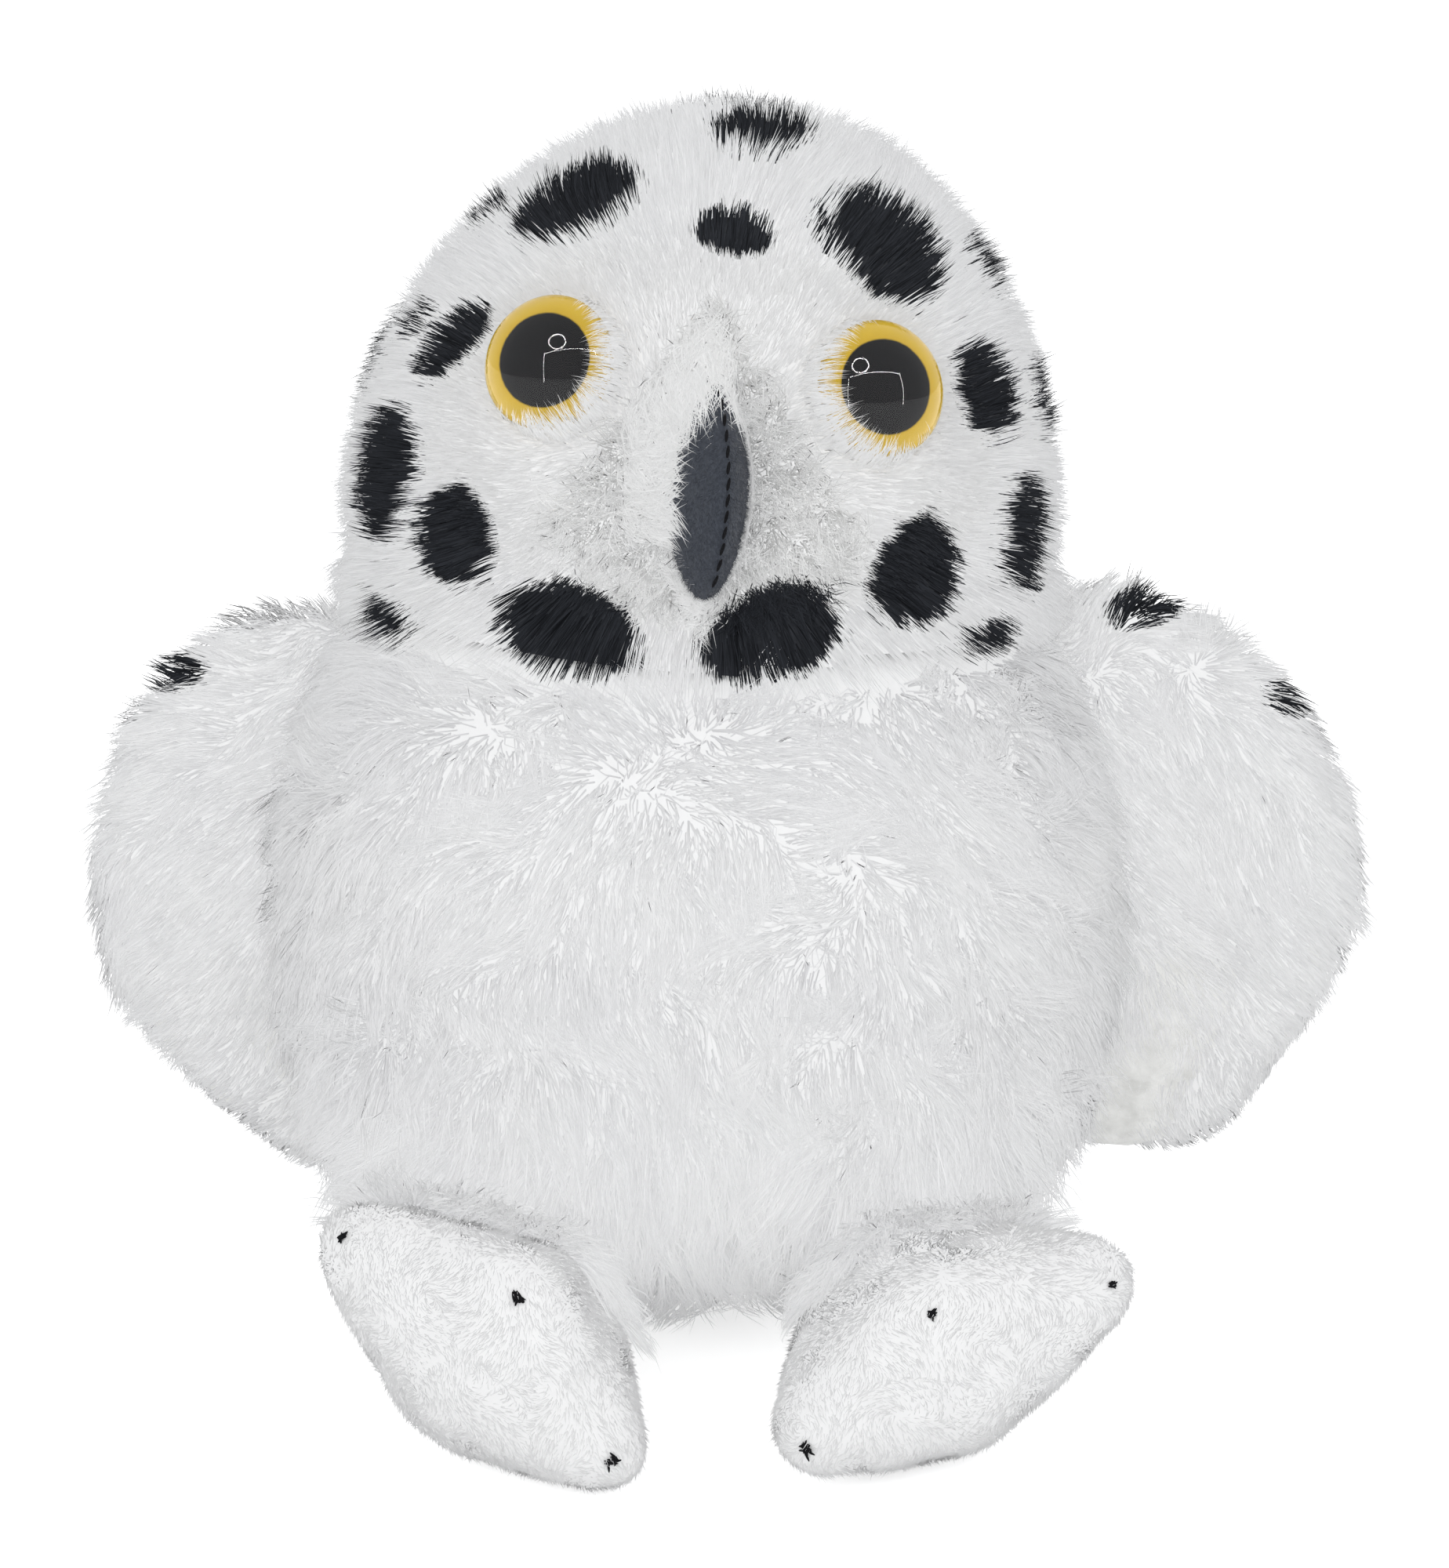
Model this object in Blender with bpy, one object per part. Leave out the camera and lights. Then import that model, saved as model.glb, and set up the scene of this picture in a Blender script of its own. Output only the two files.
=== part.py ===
"""A seated plush snowy owl: sewn panels over their fillings, with wings, feet and tail on seam hinges.

+Z is up, the owl looks along -Y, its left side is at +X, and the origin is the middle of the flat seat.
Each panel is as thick as its fabric and pile together, so its outside is where the fur ends.
"""
import math

import bmesh
import bpy
from mathutils import Matrix, Vector

# Gaps between pieces, and the flat pressed into what stands on the ground
seam_gap = 0.0003
seat_flat = 0.0005

# Body: a full pear, sewn from a belly panel, a back panel and a base panel
body_half_width = 0.0785
body_half_depth = 0.069
body_low_height = 0.0735
body_top_height = 0.085
body_chest_lean = 0.008
body_fullness_share = 2.3
body_cover = 0.007
side_seam_back = 0.012
base_panel_height = 0.015

# Pellet bag, low in the body's filling
pellet_half_width = 0.040
pellet_half_depth = 0.034
pellet_half_height = 0.015
pellet_height = 0.018

# Head: a dome that leans to the owl's left
head_half_width = 0.065
head_aside = 0.0017
head_top_aside = 0.004
head_top_draw = 0.006
head_half_depth = 0.059
head_half_height = 0.070
head_sink = 0.004
head_forward = 0.004
head_fullness_share = 2.05
head_cover = 0.006
head_lean_deg = 4.5

# Face panel and muzzle panel, both looking up along the face's own direction
face_half_width = 0.047
face_half_height = 0.031
face_up_deg = 21
muzzle_half_width = 0.025
muzzle_corner_drop = 0.017
muzzle_top = 0.017
muzzle_bottom = 0.033
muzzle_rise = 0.0025

# Eyes: a domed lens on a painted back, whose stem holds a lock washer inside the head
eye_radius = 0.0116
eye_spread = 0.0285
eye_height = 0.0285
lens_dome = 0.0078
lens_rim = 0.0008
eye_back_thickness = 0.0016
eye_recess = 0.0028
stem_radius = 0.0025
stem_end = 0.0012
washer_radius = 0.0068
washer_thickness = 0.0018

# Beak: two felt panels that meet on a ridge seam
beak_half_width = 0.0072
beak_half_length = 0.0190
beak_reach = 0.0135
beak_height = 0.0115
beak_tip_deg = 12
beak_turn_deg = 14
beak_sharpness_share = 1.35
beak_felt = 0.0016

# Wings: leaves that hang from the shoulder seams
wing_half_width = 0.035
wing_half_thickness = 0.0145
wing_half_height = 0.057
wing_out = 0.084
wing_back = 0.013
wing_height = 0.076
wing_fullness_share = 2.2
wing_tip_lean = 0.014
wing_top_lean = 0.010
wing_cover = 0.005
wing_turn_deg = 7
shoulder_out = 0.0615
shoulder_height = 0.126
wing_lift_deg = 45
wing_spread_deg = {"left": 6.5, "right": -7}

# Feet: pillows with a leg at the back and three toes, that rest on the floor
foot_out = {"left": 0.0420, "right": 0.0345}
foot_forward = 0.076
foot_pad_radius = 0.0185
foot_cover = 0.003
foot_roll_deg = {"left": 5, "right": -8}
foot_pitch_deg = {"left": 0, "right": 7}
toe_radius = 0.0068
inner_toe = Vector((-0.0218, -0.0210, -0.0098))
middle_toe = Vector((-0.0040, -0.0235, 0.0142))
outer_toe = Vector((0.0255, -0.0050, 0.0135))
sole_radius = 0.0158
sole_bulge = Vector((-0.0010, -0.0135, 0.0030))
leg_radius = 0.0150
leg_root = Vector((-0.0060, 0.0200, 0.0025))
leg_seam_forward = 0.047
leg_seam_height = 0.021
toes_down_deg = 35
toes_up_deg = 10
claw_radius = 0.0021
claw_rise = 0.0006

# Tail: a short flap at the back of the seat
tail_half_width = 0.025
tail_half_length = 0.027
tail_half_thickness = 0.0085
tail_back = 0.064
tail_slope_deg = 6
tail_cover = 0.004
tail_seam_back = 0.050
tail_seam_height = 0.014
tail_up_deg = 40

# Mesh fineness: segments round and rings from pole to pole
large_mesh = (22, 13)
limb_mesh = (16, 11)
core_mesh = (12, 8)
tail_mesh = (14, 9)
ball_mesh = (12, 8)
claw_mesh = (8, 6)
turned_segments = 20

head_height = body_low_height + body_top_height - head_sink
reach = body_low_height + head_height
sides = {"left": 1, "right": -1}


def link(name, mesh):
    """Put a mesh in the scene as an object."""
    made = bpy.data.objects.new(name, mesh)
    bpy.context.collection.objects.link(made)
    return made


def object_from(name, bm):
    """Turn a finished bmesh into an object with its faces pointing out."""
    bmesh.ops.recalc_face_normals(bm, faces=bm.faces)
    mesh = bpy.data.meshes.new(name)
    bm.to_mesh(mesh)
    bm.free()
    return link(name, mesh)


def pushed(half, extra):
    """The half sizes of a form grown by extra on every side, or shrunk where it is negative."""
    return Vector((half.x + extra, half.y + extra, half.z + extra))


def swelling(name, half, fullness, fineness):
    """A rounded form: a ball filled out towards a box by its fullness and scaled to its half sizes."""
    bm = bmesh.new()
    bmesh.ops.create_uvsphere(bm, u_segments=fineness[0], v_segments=fineness[1], radius=1)
    for vert in bm.verts:
        shares = [abs(share) ** fullness for share in vert.co]
        vert.co /= sum(shares) ** (1 / fullness)
        vert.co = Vector((vert.co.x * half.x, vert.co.y * half.y, vert.co.z * half.z))
    bmesh.ops.triangulate(bm, faces=bm.faces, quad_method="FIXED")
    return object_from(name, bm)


def turned(name, profile, segments):
    """A closed round solid from a profile of (radius, height), turned about Z from axis to axis."""
    bm = bmesh.new()
    verts = [bm.verts.new((radius, 0, height)) for radius, height in profile]
    edges = [bm.edges.new(pair) for pair in zip(verts, verts[1:])]
    bmesh.ops.spin(bm, geom=verts + edges, cent=(0, 0, 0), axis=(0, 0, 1), angle=math.tau,
                   steps=segments, use_merge=True)
    bmesh.ops.remove_doubles(bm, verts=bm.verts, dist=seam_gap / segments)
    return object_from(name, bm)


def prism(name, outline, depth):
    """A flat outline in XY, raised along Z by depth."""
    bm = bmesh.new()
    face = bm.faces.new([bm.verts.new((x, y, 0)) for x, y in outline])
    raised = bmesh.ops.extrude_face_region(bm, geom=[face])["geom"]
    top = [item for item in raised if isinstance(item, bmesh.types.BMVert)]
    bmesh.ops.translate(bm, verts=top, vec=(0, 0, depth))
    return object_from(name, bm)


def beyond(name, point, normal):
    """A large block that fills the space beyond a plane, on the side its normal points to."""
    bm = bmesh.new()
    bmesh.ops.create_cube(bm, size=1)
    bmesh.ops.scale(bm, verts=bm.verts, vec=(4 * reach, 4 * reach, 2 * reach))
    bmesh.ops.translate(bm, verts=bm.verts, vec=(0, 0, reach))
    block = object_from(name, bm)
    turn = Vector(normal).to_track_quat("Z", "Y").to_matrix().to_4x4()
    block.data.transform(Matrix.Translation(point) @ turn)
    return block


def duplicate(source, name):
    """A second object with its own copy of the mesh."""
    made = link(name, source.data.copy())
    made.matrix_world = source.matrix_world.copy()
    return made


def carve(target, cutter, operation="DIFFERENCE"):
    """Cut the target with the cutter, or keep only what both share, and keep the result as its mesh."""
    modifier = target.modifiers.new("carve", "BOOLEAN")
    modifier.object = cutter
    modifier.operation = operation
    modifier.solver = "EXACT"
    bpy.context.view_layer.update()
    result = target.evaluated_get(bpy.context.evaluated_depsgraph_get())
    mesh = bpy.data.meshes.new_from_object(result)
    target.modifiers.clear()
    target.data = mesh
    return target


def drop(*spent):
    """Take guides and cutters out of the scene once they have done their work."""
    for guide in spent:
        bpy.data.objects.remove(guide)


def shell(name, outer, inner):
    """The wall between an outer form and an inner one."""
    wall = duplicate(outer, name)
    return carve(wall, inner)


def split(wall, first_name, second_name, point, normal):
    """Two sewn panels from one wall: the first lies on the side the normal points to."""
    away = Vector(normal).normalized()
    near_block = beyond("near_block", point + away * seam_gap / 2, -away)
    far_block = beyond("far_block", point - away * seam_gap / 2, away)
    first = carve(duplicate(wall, first_name), near_block)
    second = carve(duplicate(wall, second_name), far_block)
    drop(near_block, far_block, wall)
    return first, second


def painted(made, material, smooth_deg=50):
    """Give a piece its material and smooth shading."""
    made.data.materials.clear()
    made.data.materials.append(material)
    made.data.shade_smooth()
    made.data.set_sharp_from_angle(angle=math.radians(smooth_deg))
    return made


def finish_of(name, color, roughness, metallic=0.0):
    """A Principled material."""
    material = bpy.data.materials.new(name)
    material.use_nodes = True
    shader = material.node_tree.nodes["Principled BSDF"]
    shader.inputs["Base Color"].default_value = (*color, 1)
    shader.inputs["Roughness"].default_value = roughness
    shader.inputs["Metallic"].default_value = metallic
    material.diffuse_color = (*color, 1)
    return material


def hang(pieces, name, axis_point):
    """Carry pieces on an empty that stands on their joint's axis."""
    hinge = bpy.data.objects.new(name, None)
    bpy.context.collection.objects.link(hinge)
    hinge.location = axis_point
    for piece in pieces:
        piece.data.transform(Matrix.Translation(-axis_point))
        piece.parent = hinge


def turn_about(point, angle_deg, axis):
    """The matrix of a turn about an axis through a point."""
    turn = Matrix.Rotation(math.radians(angle_deg), 4, axis)
    return Matrix.Translation(point) @ turn @ Matrix.Translation(-point)


for old in list(bpy.data.objects):
    bpy.data.objects.remove(old)

shaggy_fur = finish_of("shaggy_white_fur", (0.86, 0.86, 0.87), 0.9)
spotted_fur = finish_of("spotted_fur", (0.62, 0.62, 0.64), 0.9)
short_plush = finish_of("short_white_plush", (0.84, 0.84, 0.83), 0.85)
muzzle_fur = finish_of("trimmed_muzzle_fur", (0.88, 0.88, 0.86), 0.9)
beak_cloth = finish_of("slate_felt", (0.055, 0.063, 0.082), 0.95)
clear_plastic = finish_of("clear_lens", (0.75, 0.78, 0.8), 0.05)
painted_plastic = finish_of("painted_eye_back", (0.55, 0.36, 0.03), 0.35)
washer_plastic = finish_of("washer_plastic", (0.8, 0.8, 0.78), 0.5)
black_thread = finish_of("black_thread", (0.02, 0.02, 0.022), 0.7)
fibre_filling = finish_of("fibre_filling", (0.9, 0.9, 0.88), 1.0)
bag_cotton = finish_of("pellet_bag_cotton", (0.78, 0.74, 0.66), 0.9)

# Forms that the other pieces are cut by
body_half = Vector((body_half_width, body_half_depth, body_low_height))
body_centre = Vector((0, 0, body_low_height - seat_flat))
head_half = Vector((head_half_width, head_half_depth, head_half_height))
head_centre = Vector((head_aside, -head_forward, head_height))
head_frame = Matrix.Translation(head_centre) @ Matrix.Rotation(math.radians(head_lean_deg), 4, "Y")
floor_block = beyond("floor_block", Vector((0, 0, 0)), (0, 0, -1))


def body_form(name, extra, fineness=large_mesh):
    """The body's swelling form, grown by extra: taller above its widest girth, with the chest forward."""
    half = pushed(body_half, extra)
    made = swelling(name, half, body_fullness_share, fineness)
    for vert in made.data.vertices:
        rise_share = max(vert.co.z / half.z, 0)
        vert.co.z += rise_share * (body_top_height - body_low_height)
        vert.co.y -= rise_share * body_chest_lean
    made.data.transform(Matrix.Translation(body_centre))
    return made


def head_form(name, extra, fineness=large_mesh):
    """The head's dome, grown by extra, drawn in at its top and in its place on the neck."""
    half = pushed(head_half, extra)
    made = swelling(name, half, head_fullness_share, fineness)
    for vert in made.data.vertices:
        rise_share = max(vert.co.z / half.z, 0)
        vert.co.x -= vert.co.x / half.x * head_top_draw * rise_share
        vert.co.x += head_top_aside * rise_share ** 2
    made.data.transform(head_frame)
    return made


body_clear = body_form("body_clear", seam_gap)
head_clear = head_form("head_clear", seam_gap)


def clear_of_torso(piece, axis_point, axis, angles):
    """Cut a limb's piece clear of the body and the head at rest and through its joint's range."""
    for angle in angles:
        for cutter in (body_clear, head_clear):
            swung = duplicate(cutter, "swung_cutter")
            swung.data.transform(turn_about(axis_point, -angle, axis))
            carve(piece, swung)
            drop(swung)


def make_body():
    """Belly, back and base panels over the filling, with the pellet bag low in the seat."""
    outer = body_form("body_outer", 0)
    carve(outer, floor_block)
    inner = body_form("body_inner", -body_cover)
    wall = shell("body_wall", outer, inner)
    drop(outer, inner)

    base_seam = Vector((0, 0, base_panel_height))
    upper, base = split(wall, "body_upper", "body_base_panel", base_seam, (0, 0, 1))
    side_seam = Vector((0, side_seam_back, 0))
    back, belly = split(upper, "body_back_panel", "body_belly_panel", side_seam, (0, 1, 0))

    pellet_half = Vector((pellet_half_width, pellet_half_depth, pellet_half_height))
    pellet_place = Matrix.Translation((0, 0, pellet_height))
    room = body_form("filling_room", -body_cover - seam_gap)
    bag = swelling("pellet_bag", pellet_half, body_fullness_share, core_mesh)
    bag.data.transform(pellet_place)
    carve(bag, room, "INTERSECT")
    bag_clear = swelling("bag_clear", pushed(pellet_half, seam_gap), body_fullness_share, core_mesh)
    bag_clear.data.transform(pellet_place)
    room.name = "body_filling"
    carve(room, bag_clear)
    drop(bag_clear)

    painted(belly, shaggy_fur)
    painted(back, spotted_fur)
    painted(base, shaggy_fur)
    painted(room, fibre_filling)
    painted(bag, bag_cotton)


def eye_frame(side):
    """Where an eye sits on the head's surface, with its local Z along the surface's outward normal."""
    across = eye_spread * side
    left_over = 1 - abs(across / head_half.x) ** head_fullness_share
    left_over -= abs(eye_height / head_half.z) ** head_fullness_share
    ahead = -head_half.y * left_over ** (1 / head_fullness_share)
    spot = Vector((across, ahead, eye_height))
    normal = Vector((spot.x / head_half.x ** 2, spot.y / head_half.y ** 2, spot.z / head_half.z ** 2))
    turn = normal.to_track_quat("Z", "Y").to_matrix().to_4x4()
    return head_frame @ Matrix.Translation(spot) @ turn


def face_cutter(name, extra):
    """An oval block that cuts the face panel out of the head's cover."""
    outline = []
    for step in range(turned_segments):
        angle = math.tau * step / turned_segments
        across = (face_half_width + extra) * math.cos(angle)
        up = (face_half_height + extra) * math.sin(angle)
        outline.append((across, up))
    return face_block(name, outline)


def muzzle_cutter(name, extra):
    """A kite-shaped block that cuts the muzzle panel out of the face."""
    corner = muzzle_half_width + extra
    top = muzzle_top + extra
    bottom = muzzle_bottom + extra
    shoulder = corner / 2
    outline = [(0, top), (-shoulder, 0), (-corner, -muzzle_corner_drop), (-shoulder, -bottom),
               (shoulder, -bottom), (corner, -muzzle_corner_drop), (shoulder, 0)]
    return face_block(name, outline)


def face_block(name, outline):
    """An outline seen from the front of the face, pushed through the front of the head."""
    block = prism(name, outline, reach)
    look_out = Matrix.Rotation(math.radians(90 - face_up_deg), 4, "X")
    block.data.transform(head_frame @ look_out)
    return block


def make_head():
    """Head cover, face panel and muzzle over the head's filling, cut to sit on the body."""
    outer = head_form("head_outer", 0)
    inner = head_form("head_inner", -head_cover)
    wall = shell("head_wall", outer, inner)
    carve(wall, body_clear)
    proud = head_form("muzzle_outer", muzzle_rise)
    muzzle = shell("muzzle_panel", proud, inner)
    carve(muzzle, body_clear)
    carve(muzzle, muzzle_cutter("muzzle_block", -seam_gap / 2), "INTERSECT")
    muzzle_hole = muzzle_cutter("muzzle_hole", seam_gap / 2)
    face_hole = face_cutter("face_hole", seam_gap / 2)
    face_room = face_cutter("face_room", -seam_gap / 2)

    cover = duplicate(wall, "head_cover")
    carve(cover, face_hole)
    carve(cover, muzzle_hole)
    face = duplicate(wall, "face_panel")
    carve(face, face_room, "INTERSECT")
    carve(face, muzzle_hole)
    filling = head_form("head_filling", -head_cover - seam_gap)
    carve(filling, body_clear)

    for side_name, side in sides.items():
        make_eye(side_name, eye_frame(side), face, filling)

    drop(wall, outer, inner, proud, face_hole, face_room, muzzle_hole, bpy.data.objects["muzzle_block"])
    painted(cover, spotted_fur)
    painted(face, short_plush)
    painted(muzzle, muzzle_fur)
    painted(filling, fibre_filling)


def make_eye(side_name, frame, face, filling):
    """One safety eye, with its recess in the face panel and room for its washer in the filling."""
    floor = -eye_recess
    top = floor + eye_back_thickness
    inside = -head_cover - seam_gap
    washer_far = inside - washer_thickness
    stem_far = washer_far - stem_end
    back = turned("eye_back_" + side_name,
                  [(0, stem_far), (stem_radius, stem_far), (stem_radius, floor + seam_gap),
                   (eye_radius, floor + seam_gap), (eye_radius, top), (0, top)], turned_segments)
    rim = top + seam_gap
    rise = lens_dome
    profile = [(0, rim), (eye_radius, rim), (eye_radius, rim + lens_rim)]
    rings = large_mesh[0] // 4
    for ring in range(1, rings + 1):
        angle = math.pi / 2 * ring / rings
        across = eye_radius * math.cos(angle) if ring < rings else 0
        profile.append((across, rim + lens_rim + (rise - lens_rim) * math.sin(angle)))
    lens = turned("eye_lens_" + side_name, profile, turned_segments)
    hole = stem_radius + seam_gap
    washer = turned("eye_washer_" + side_name,
                    [(hole, inside), (hole, washer_far), (washer_radius, washer_far),
                     (washer_radius, inside), (hole, inside)], turned_segments)

    washer_room = washer_radius + seam_gap
    lens_room = eye_radius + seam_gap
    recess = turned("recess",
                    [(0, -reach), (washer_room, -reach), (washer_room, inside + seam_gap),
                     (hole, inside + seam_gap), (hole, floor), (lens_room, floor), (lens_room, reach),
                     (0, reach)], turned_segments)
    room = turned("room", [(0, stem_far - seam_gap), (washer_room, stem_far - seam_gap),
                           (washer_room, reach), (0, reach)], turned_segments)
    for made in (back, lens, washer, recess, room):
        made.matrix_world = frame
    carve(face, recess)
    carve(filling, room)
    drop(recess, room)
    painted(back, painted_plastic, 30)
    painted(lens, clear_plastic, 30)
    painted(washer, washer_plastic, 30)


def make_beak():
    """Two felt panels that meet on the ridge seam, over a filling, seated on the muzzle."""
    half = Vector((beak_half_width, beak_reach, beak_half_length))
    seat = Matrix.Translation((0, -head_half.y, beak_height))
    lean = Matrix.Rotation(math.radians(-beak_tip_deg), 4, "X")
    turn = Matrix.Rotation(math.radians(beak_turn_deg), 4, "Z")
    place = head_frame @ seat @ turn @ lean
    outer = swelling("beak_outer", half, beak_sharpness_share, limb_mesh)
    inner = swelling("beak_inner", pushed(half, -beak_felt), beak_sharpness_share, limb_mesh)
    core = swelling("beak_filling", pushed(half, -beak_felt - seam_gap), beak_sharpness_share, limb_mesh)
    wall = shell("beak_wall", outer, inner)
    drop(outer, inner)
    left, right = split(wall, "beak_left_panel", "beak_right_panel", Vector((0, 0, 0)), (1, 0, 0))
    muzzle_clear = head_form("muzzle_clear", muzzle_rise + seam_gap)
    for piece, material in ((left, beak_cloth), (right, beak_cloth), (core, fibre_filling)):
        piece.data.transform(place)
        carve(piece, muzzle_clear)
        painted(piece, material)
    drop(muzzle_clear)


def wing_form(name, side, extra):
    """A leaf whose top and tip draw in towards the body."""
    half = pushed(Vector((wing_half_width, wing_half_thickness, wing_half_height)), extra)
    made = swelling(name, half, wing_fullness_share, limb_mesh)
    for vert in made.data.vertices:
        height_share = vert.co.z / half.z
        lean = wing_top_lean if height_share > 0 else wing_tip_lean
        vert.co.x -= lean * height_share ** 2
        vert.co.x *= side
    if side < 0:
        made.data.flip_normals()
    made.data.transform(Matrix.Translation((wing_out * side, wing_back, wing_height)))
    return made


def make_wing(side_name, side):
    """White front panel and spotted back panel over a filling, cut clear of the body as the wing lifts."""
    outer = wing_form("wing_outer", side, 0)
    inner = wing_form("wing_inner", side, -wing_cover)
    filling = wing_form("wing_" + side_name + "_filling", side, -wing_cover - seam_gap)
    wall = shell("wing_wall", outer, inner)
    drop(outer, inner)
    seam = Vector((0, wing_back, 0))
    names = ("wing_" + side_name + "_back_panel", "wing_" + side_name + "_front_panel")
    back, front = split(wall, names[0], names[1], seam, (0, 1, 0))

    shoulder = Vector((shoulder_out * side, wing_back, shoulder_height))
    turn = turn_about(shoulder, -wing_turn_deg * side, "Z")
    spread = turn_about(shoulder, -wing_spread_deg[side_name] * side, "Y")
    lift_steps = [wing_lift_deg * share for share in (0, 1 / 3, 2 / 3, 1)]
    swings = [-angle * side for angle in lift_steps]
    for piece, material in ((back, spotted_fur), (front, shaggy_fur), (filling, fibre_filling)):
        piece.data.transform(spread @ turn)
        clear_of_torso(piece, shoulder, "Y", swings)
        painted(piece, material)
    hang([back, front, filling], "wing_" + side_name + "_hinge", shoulder)


def foot_balls(side):
    """The balls that fill a foot's cover: the three toes, then the pad, the sole's bulge and the leg."""
    mirror = Vector((side, 1, 1))
    toes = [(toe * mirror, toe_radius) for toe in (inner_toe, middle_toe, outer_toe)]
    pad = (Vector((0, 0, 0)), foot_pad_radius)
    return toes + [pad, (sole_bulge * mirror, sole_radius), (leg_root * mirror, leg_radius)]


def foot_form(name, side, extra):
    """The cover drawn tight round the foot's balls, grown by extra, in its place under the belly."""
    bm = bmesh.new()
    for centre, radius in foot_balls(side):
        ball = bmesh.ops.create_uvsphere(bm, u_segments=ball_mesh[0], v_segments=ball_mesh[1], radius=1)
        bmesh.ops.scale(bm, verts=ball["verts"], vec=(radius + extra, radius + extra, radius + extra))
        bmesh.ops.translate(bm, verts=ball["verts"], vec=centre)
    bmesh.ops.delete(bm, geom=bm.edges[:] + bm.faces[:], context="EDGES_FACES")
    hull = bmesh.ops.convex_hull(bm, input=bm.verts)
    spare = [item for item in hull["geom_interior"] if isinstance(item, bmesh.types.BMVert)]
    bmesh.ops.delete(bm, geom=spare, context="VERTS")
    made = object_from(name, bm)
    made.data.transform(foot_place(side))
    return made


def foot_place(side):
    """A foot's middle, with the small roll and pitch that it rests at."""
    side_name = "left" if side > 0 else "right"
    roll = Matrix.Rotation(math.radians(foot_roll_deg[side_name] * side), 4, "Y")
    pitch = Matrix.Rotation(math.radians(-foot_pitch_deg[side_name]), 4, "X")
    middle = Vector((foot_out[side_name] * side, -foot_forward, foot_pad_radius - seat_flat))
    return Matrix.Translation(middle) @ pitch @ roll


def make_foot(side_name, side):
    """Top and sole panels sewn round the toes, over a filling, with a stitched claw on each toe."""
    outer = foot_form("foot_outer", side, 0)
    carve(outer, floor_block)
    inner = foot_form("foot_inner", side, -foot_cover)
    filling = foot_form("foot_" + side_name + "_filling", side, -foot_cover - seam_gap)
    wall = shell("foot_wall", outer, inner)
    drop(outer, inner)
    place = foot_place(side)
    tips = [place @ (centre + centre.normalized() * radius) for centre, radius in foot_balls(side)[:3]]
    sole_side = (tips[1] - tips[0]).cross(tips[2] - tips[0]) * side
    names = ("foot_" + side_name + "_sole_panel", "foot_" + side_name + "_top_panel")
    sole, top = split(wall, names[0], names[1], tips[0], sole_side)

    leg_seam = Vector((foot_out[side_name] * side, -leg_seam_forward, leg_seam_height))
    swings = (-toes_up_deg, 0, toes_down_deg / 2, toes_down_deg)
    for piece, material in ((sole, short_plush), (top, short_plush), (filling, fibre_filling)):
        clear_of_torso(piece, leg_seam, "X", swings)
        painted(piece, material)
    foot_clear = foot_form("foot_clear", side, seam_gap)
    claws = []
    for toe_name, (centre, radius) in zip(("inner", "middle", "outer"), foot_balls(side)):
        half = Vector((claw_radius, claw_radius, claw_radius))
        claw = swelling("claw_" + side_name + "_" + toe_name, half, 2, claw_mesh)
        outward = (centre.normalized() + Vector((0, -1, 0))).normalized()
        claw.data.transform(Matrix.Translation(centre + outward * (radius - claw_radius + claw_rise)))
        claw.data.transform(place)
        claws.append(claw)
    for claw in claws:
        carve(claw, foot_clear)
        painted(claw, black_thread)
    drop(foot_clear)
    hang([sole, top, filling] + claws, "foot_" + side_name + "_hinge", leg_seam)


def make_tail():
    """A short flat flap of spotted fur over white, cut clear of the body as it lifts."""
    half = Vector((tail_half_width, tail_half_length, tail_half_thickness))
    drop_angle = math.radians(-tail_slope_deg)
    tip_fall = tail_half_length * math.sin(math.radians(tail_slope_deg))
    middle = Vector((0, tail_back, tail_half_thickness + tip_fall / 2 - seat_flat))
    place = Matrix.Translation(middle) @ Matrix.Rotation(drop_angle, 4, "X")
    outer = swelling("tail_outer", half, body_fullness_share, tail_mesh)
    inner = swelling("tail_inner", pushed(half, -tail_cover), body_fullness_share, tail_mesh)
    filling = swelling("tail_filling", pushed(half, -tail_cover - seam_gap), body_fullness_share, tail_mesh)
    wall = shell("tail_wall", outer, inner)
    drop(outer, inner)
    upper, lower = split(wall, "tail_upper_panel", "tail_lower_panel", Vector((0, 0, 0)), (0, 0, 1))
    tail_seam = Vector((0, tail_seam_back, tail_seam_height))
    swings = (0, tail_up_deg / 2, tail_up_deg)
    for piece, material in ((upper, spotted_fur), (lower, shaggy_fur), (filling, fibre_filling)):
        piece.data.transform(place)
        carve(piece, floor_block)
        clear_of_torso(piece, tail_seam, "X", swings)
        painted(piece, material)
    hang([upper, lower, filling], "tail_hinge", tail_seam)


make_body()
make_head()
make_beak()
for side_name, side in sides.items():
    make_wing(side_name, side)
    make_foot(side_name, side)
make_tail()
drop(floor_block, body_clear, head_clear)
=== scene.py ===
# %% [markdown]
# # A plush snowy owl
# The toy is a sewn cover over a soft filling. Almost all that the eye meets is pile: long and shaggy on the
# belly, spotted on the head, and short on the face and the feet. Bump in a material can't give a fur outline,
# so the pile here is real geometry, combed from the cloth of each panel.

# %% Load the frame
import math
from collections import namedtuple

import bmesh
import bpy
import numpy as np
from mathutils import Matrix, Vector
from mathutils.bvhtree import BVHTree
from mathutils.kdtree import KDTree


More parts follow.
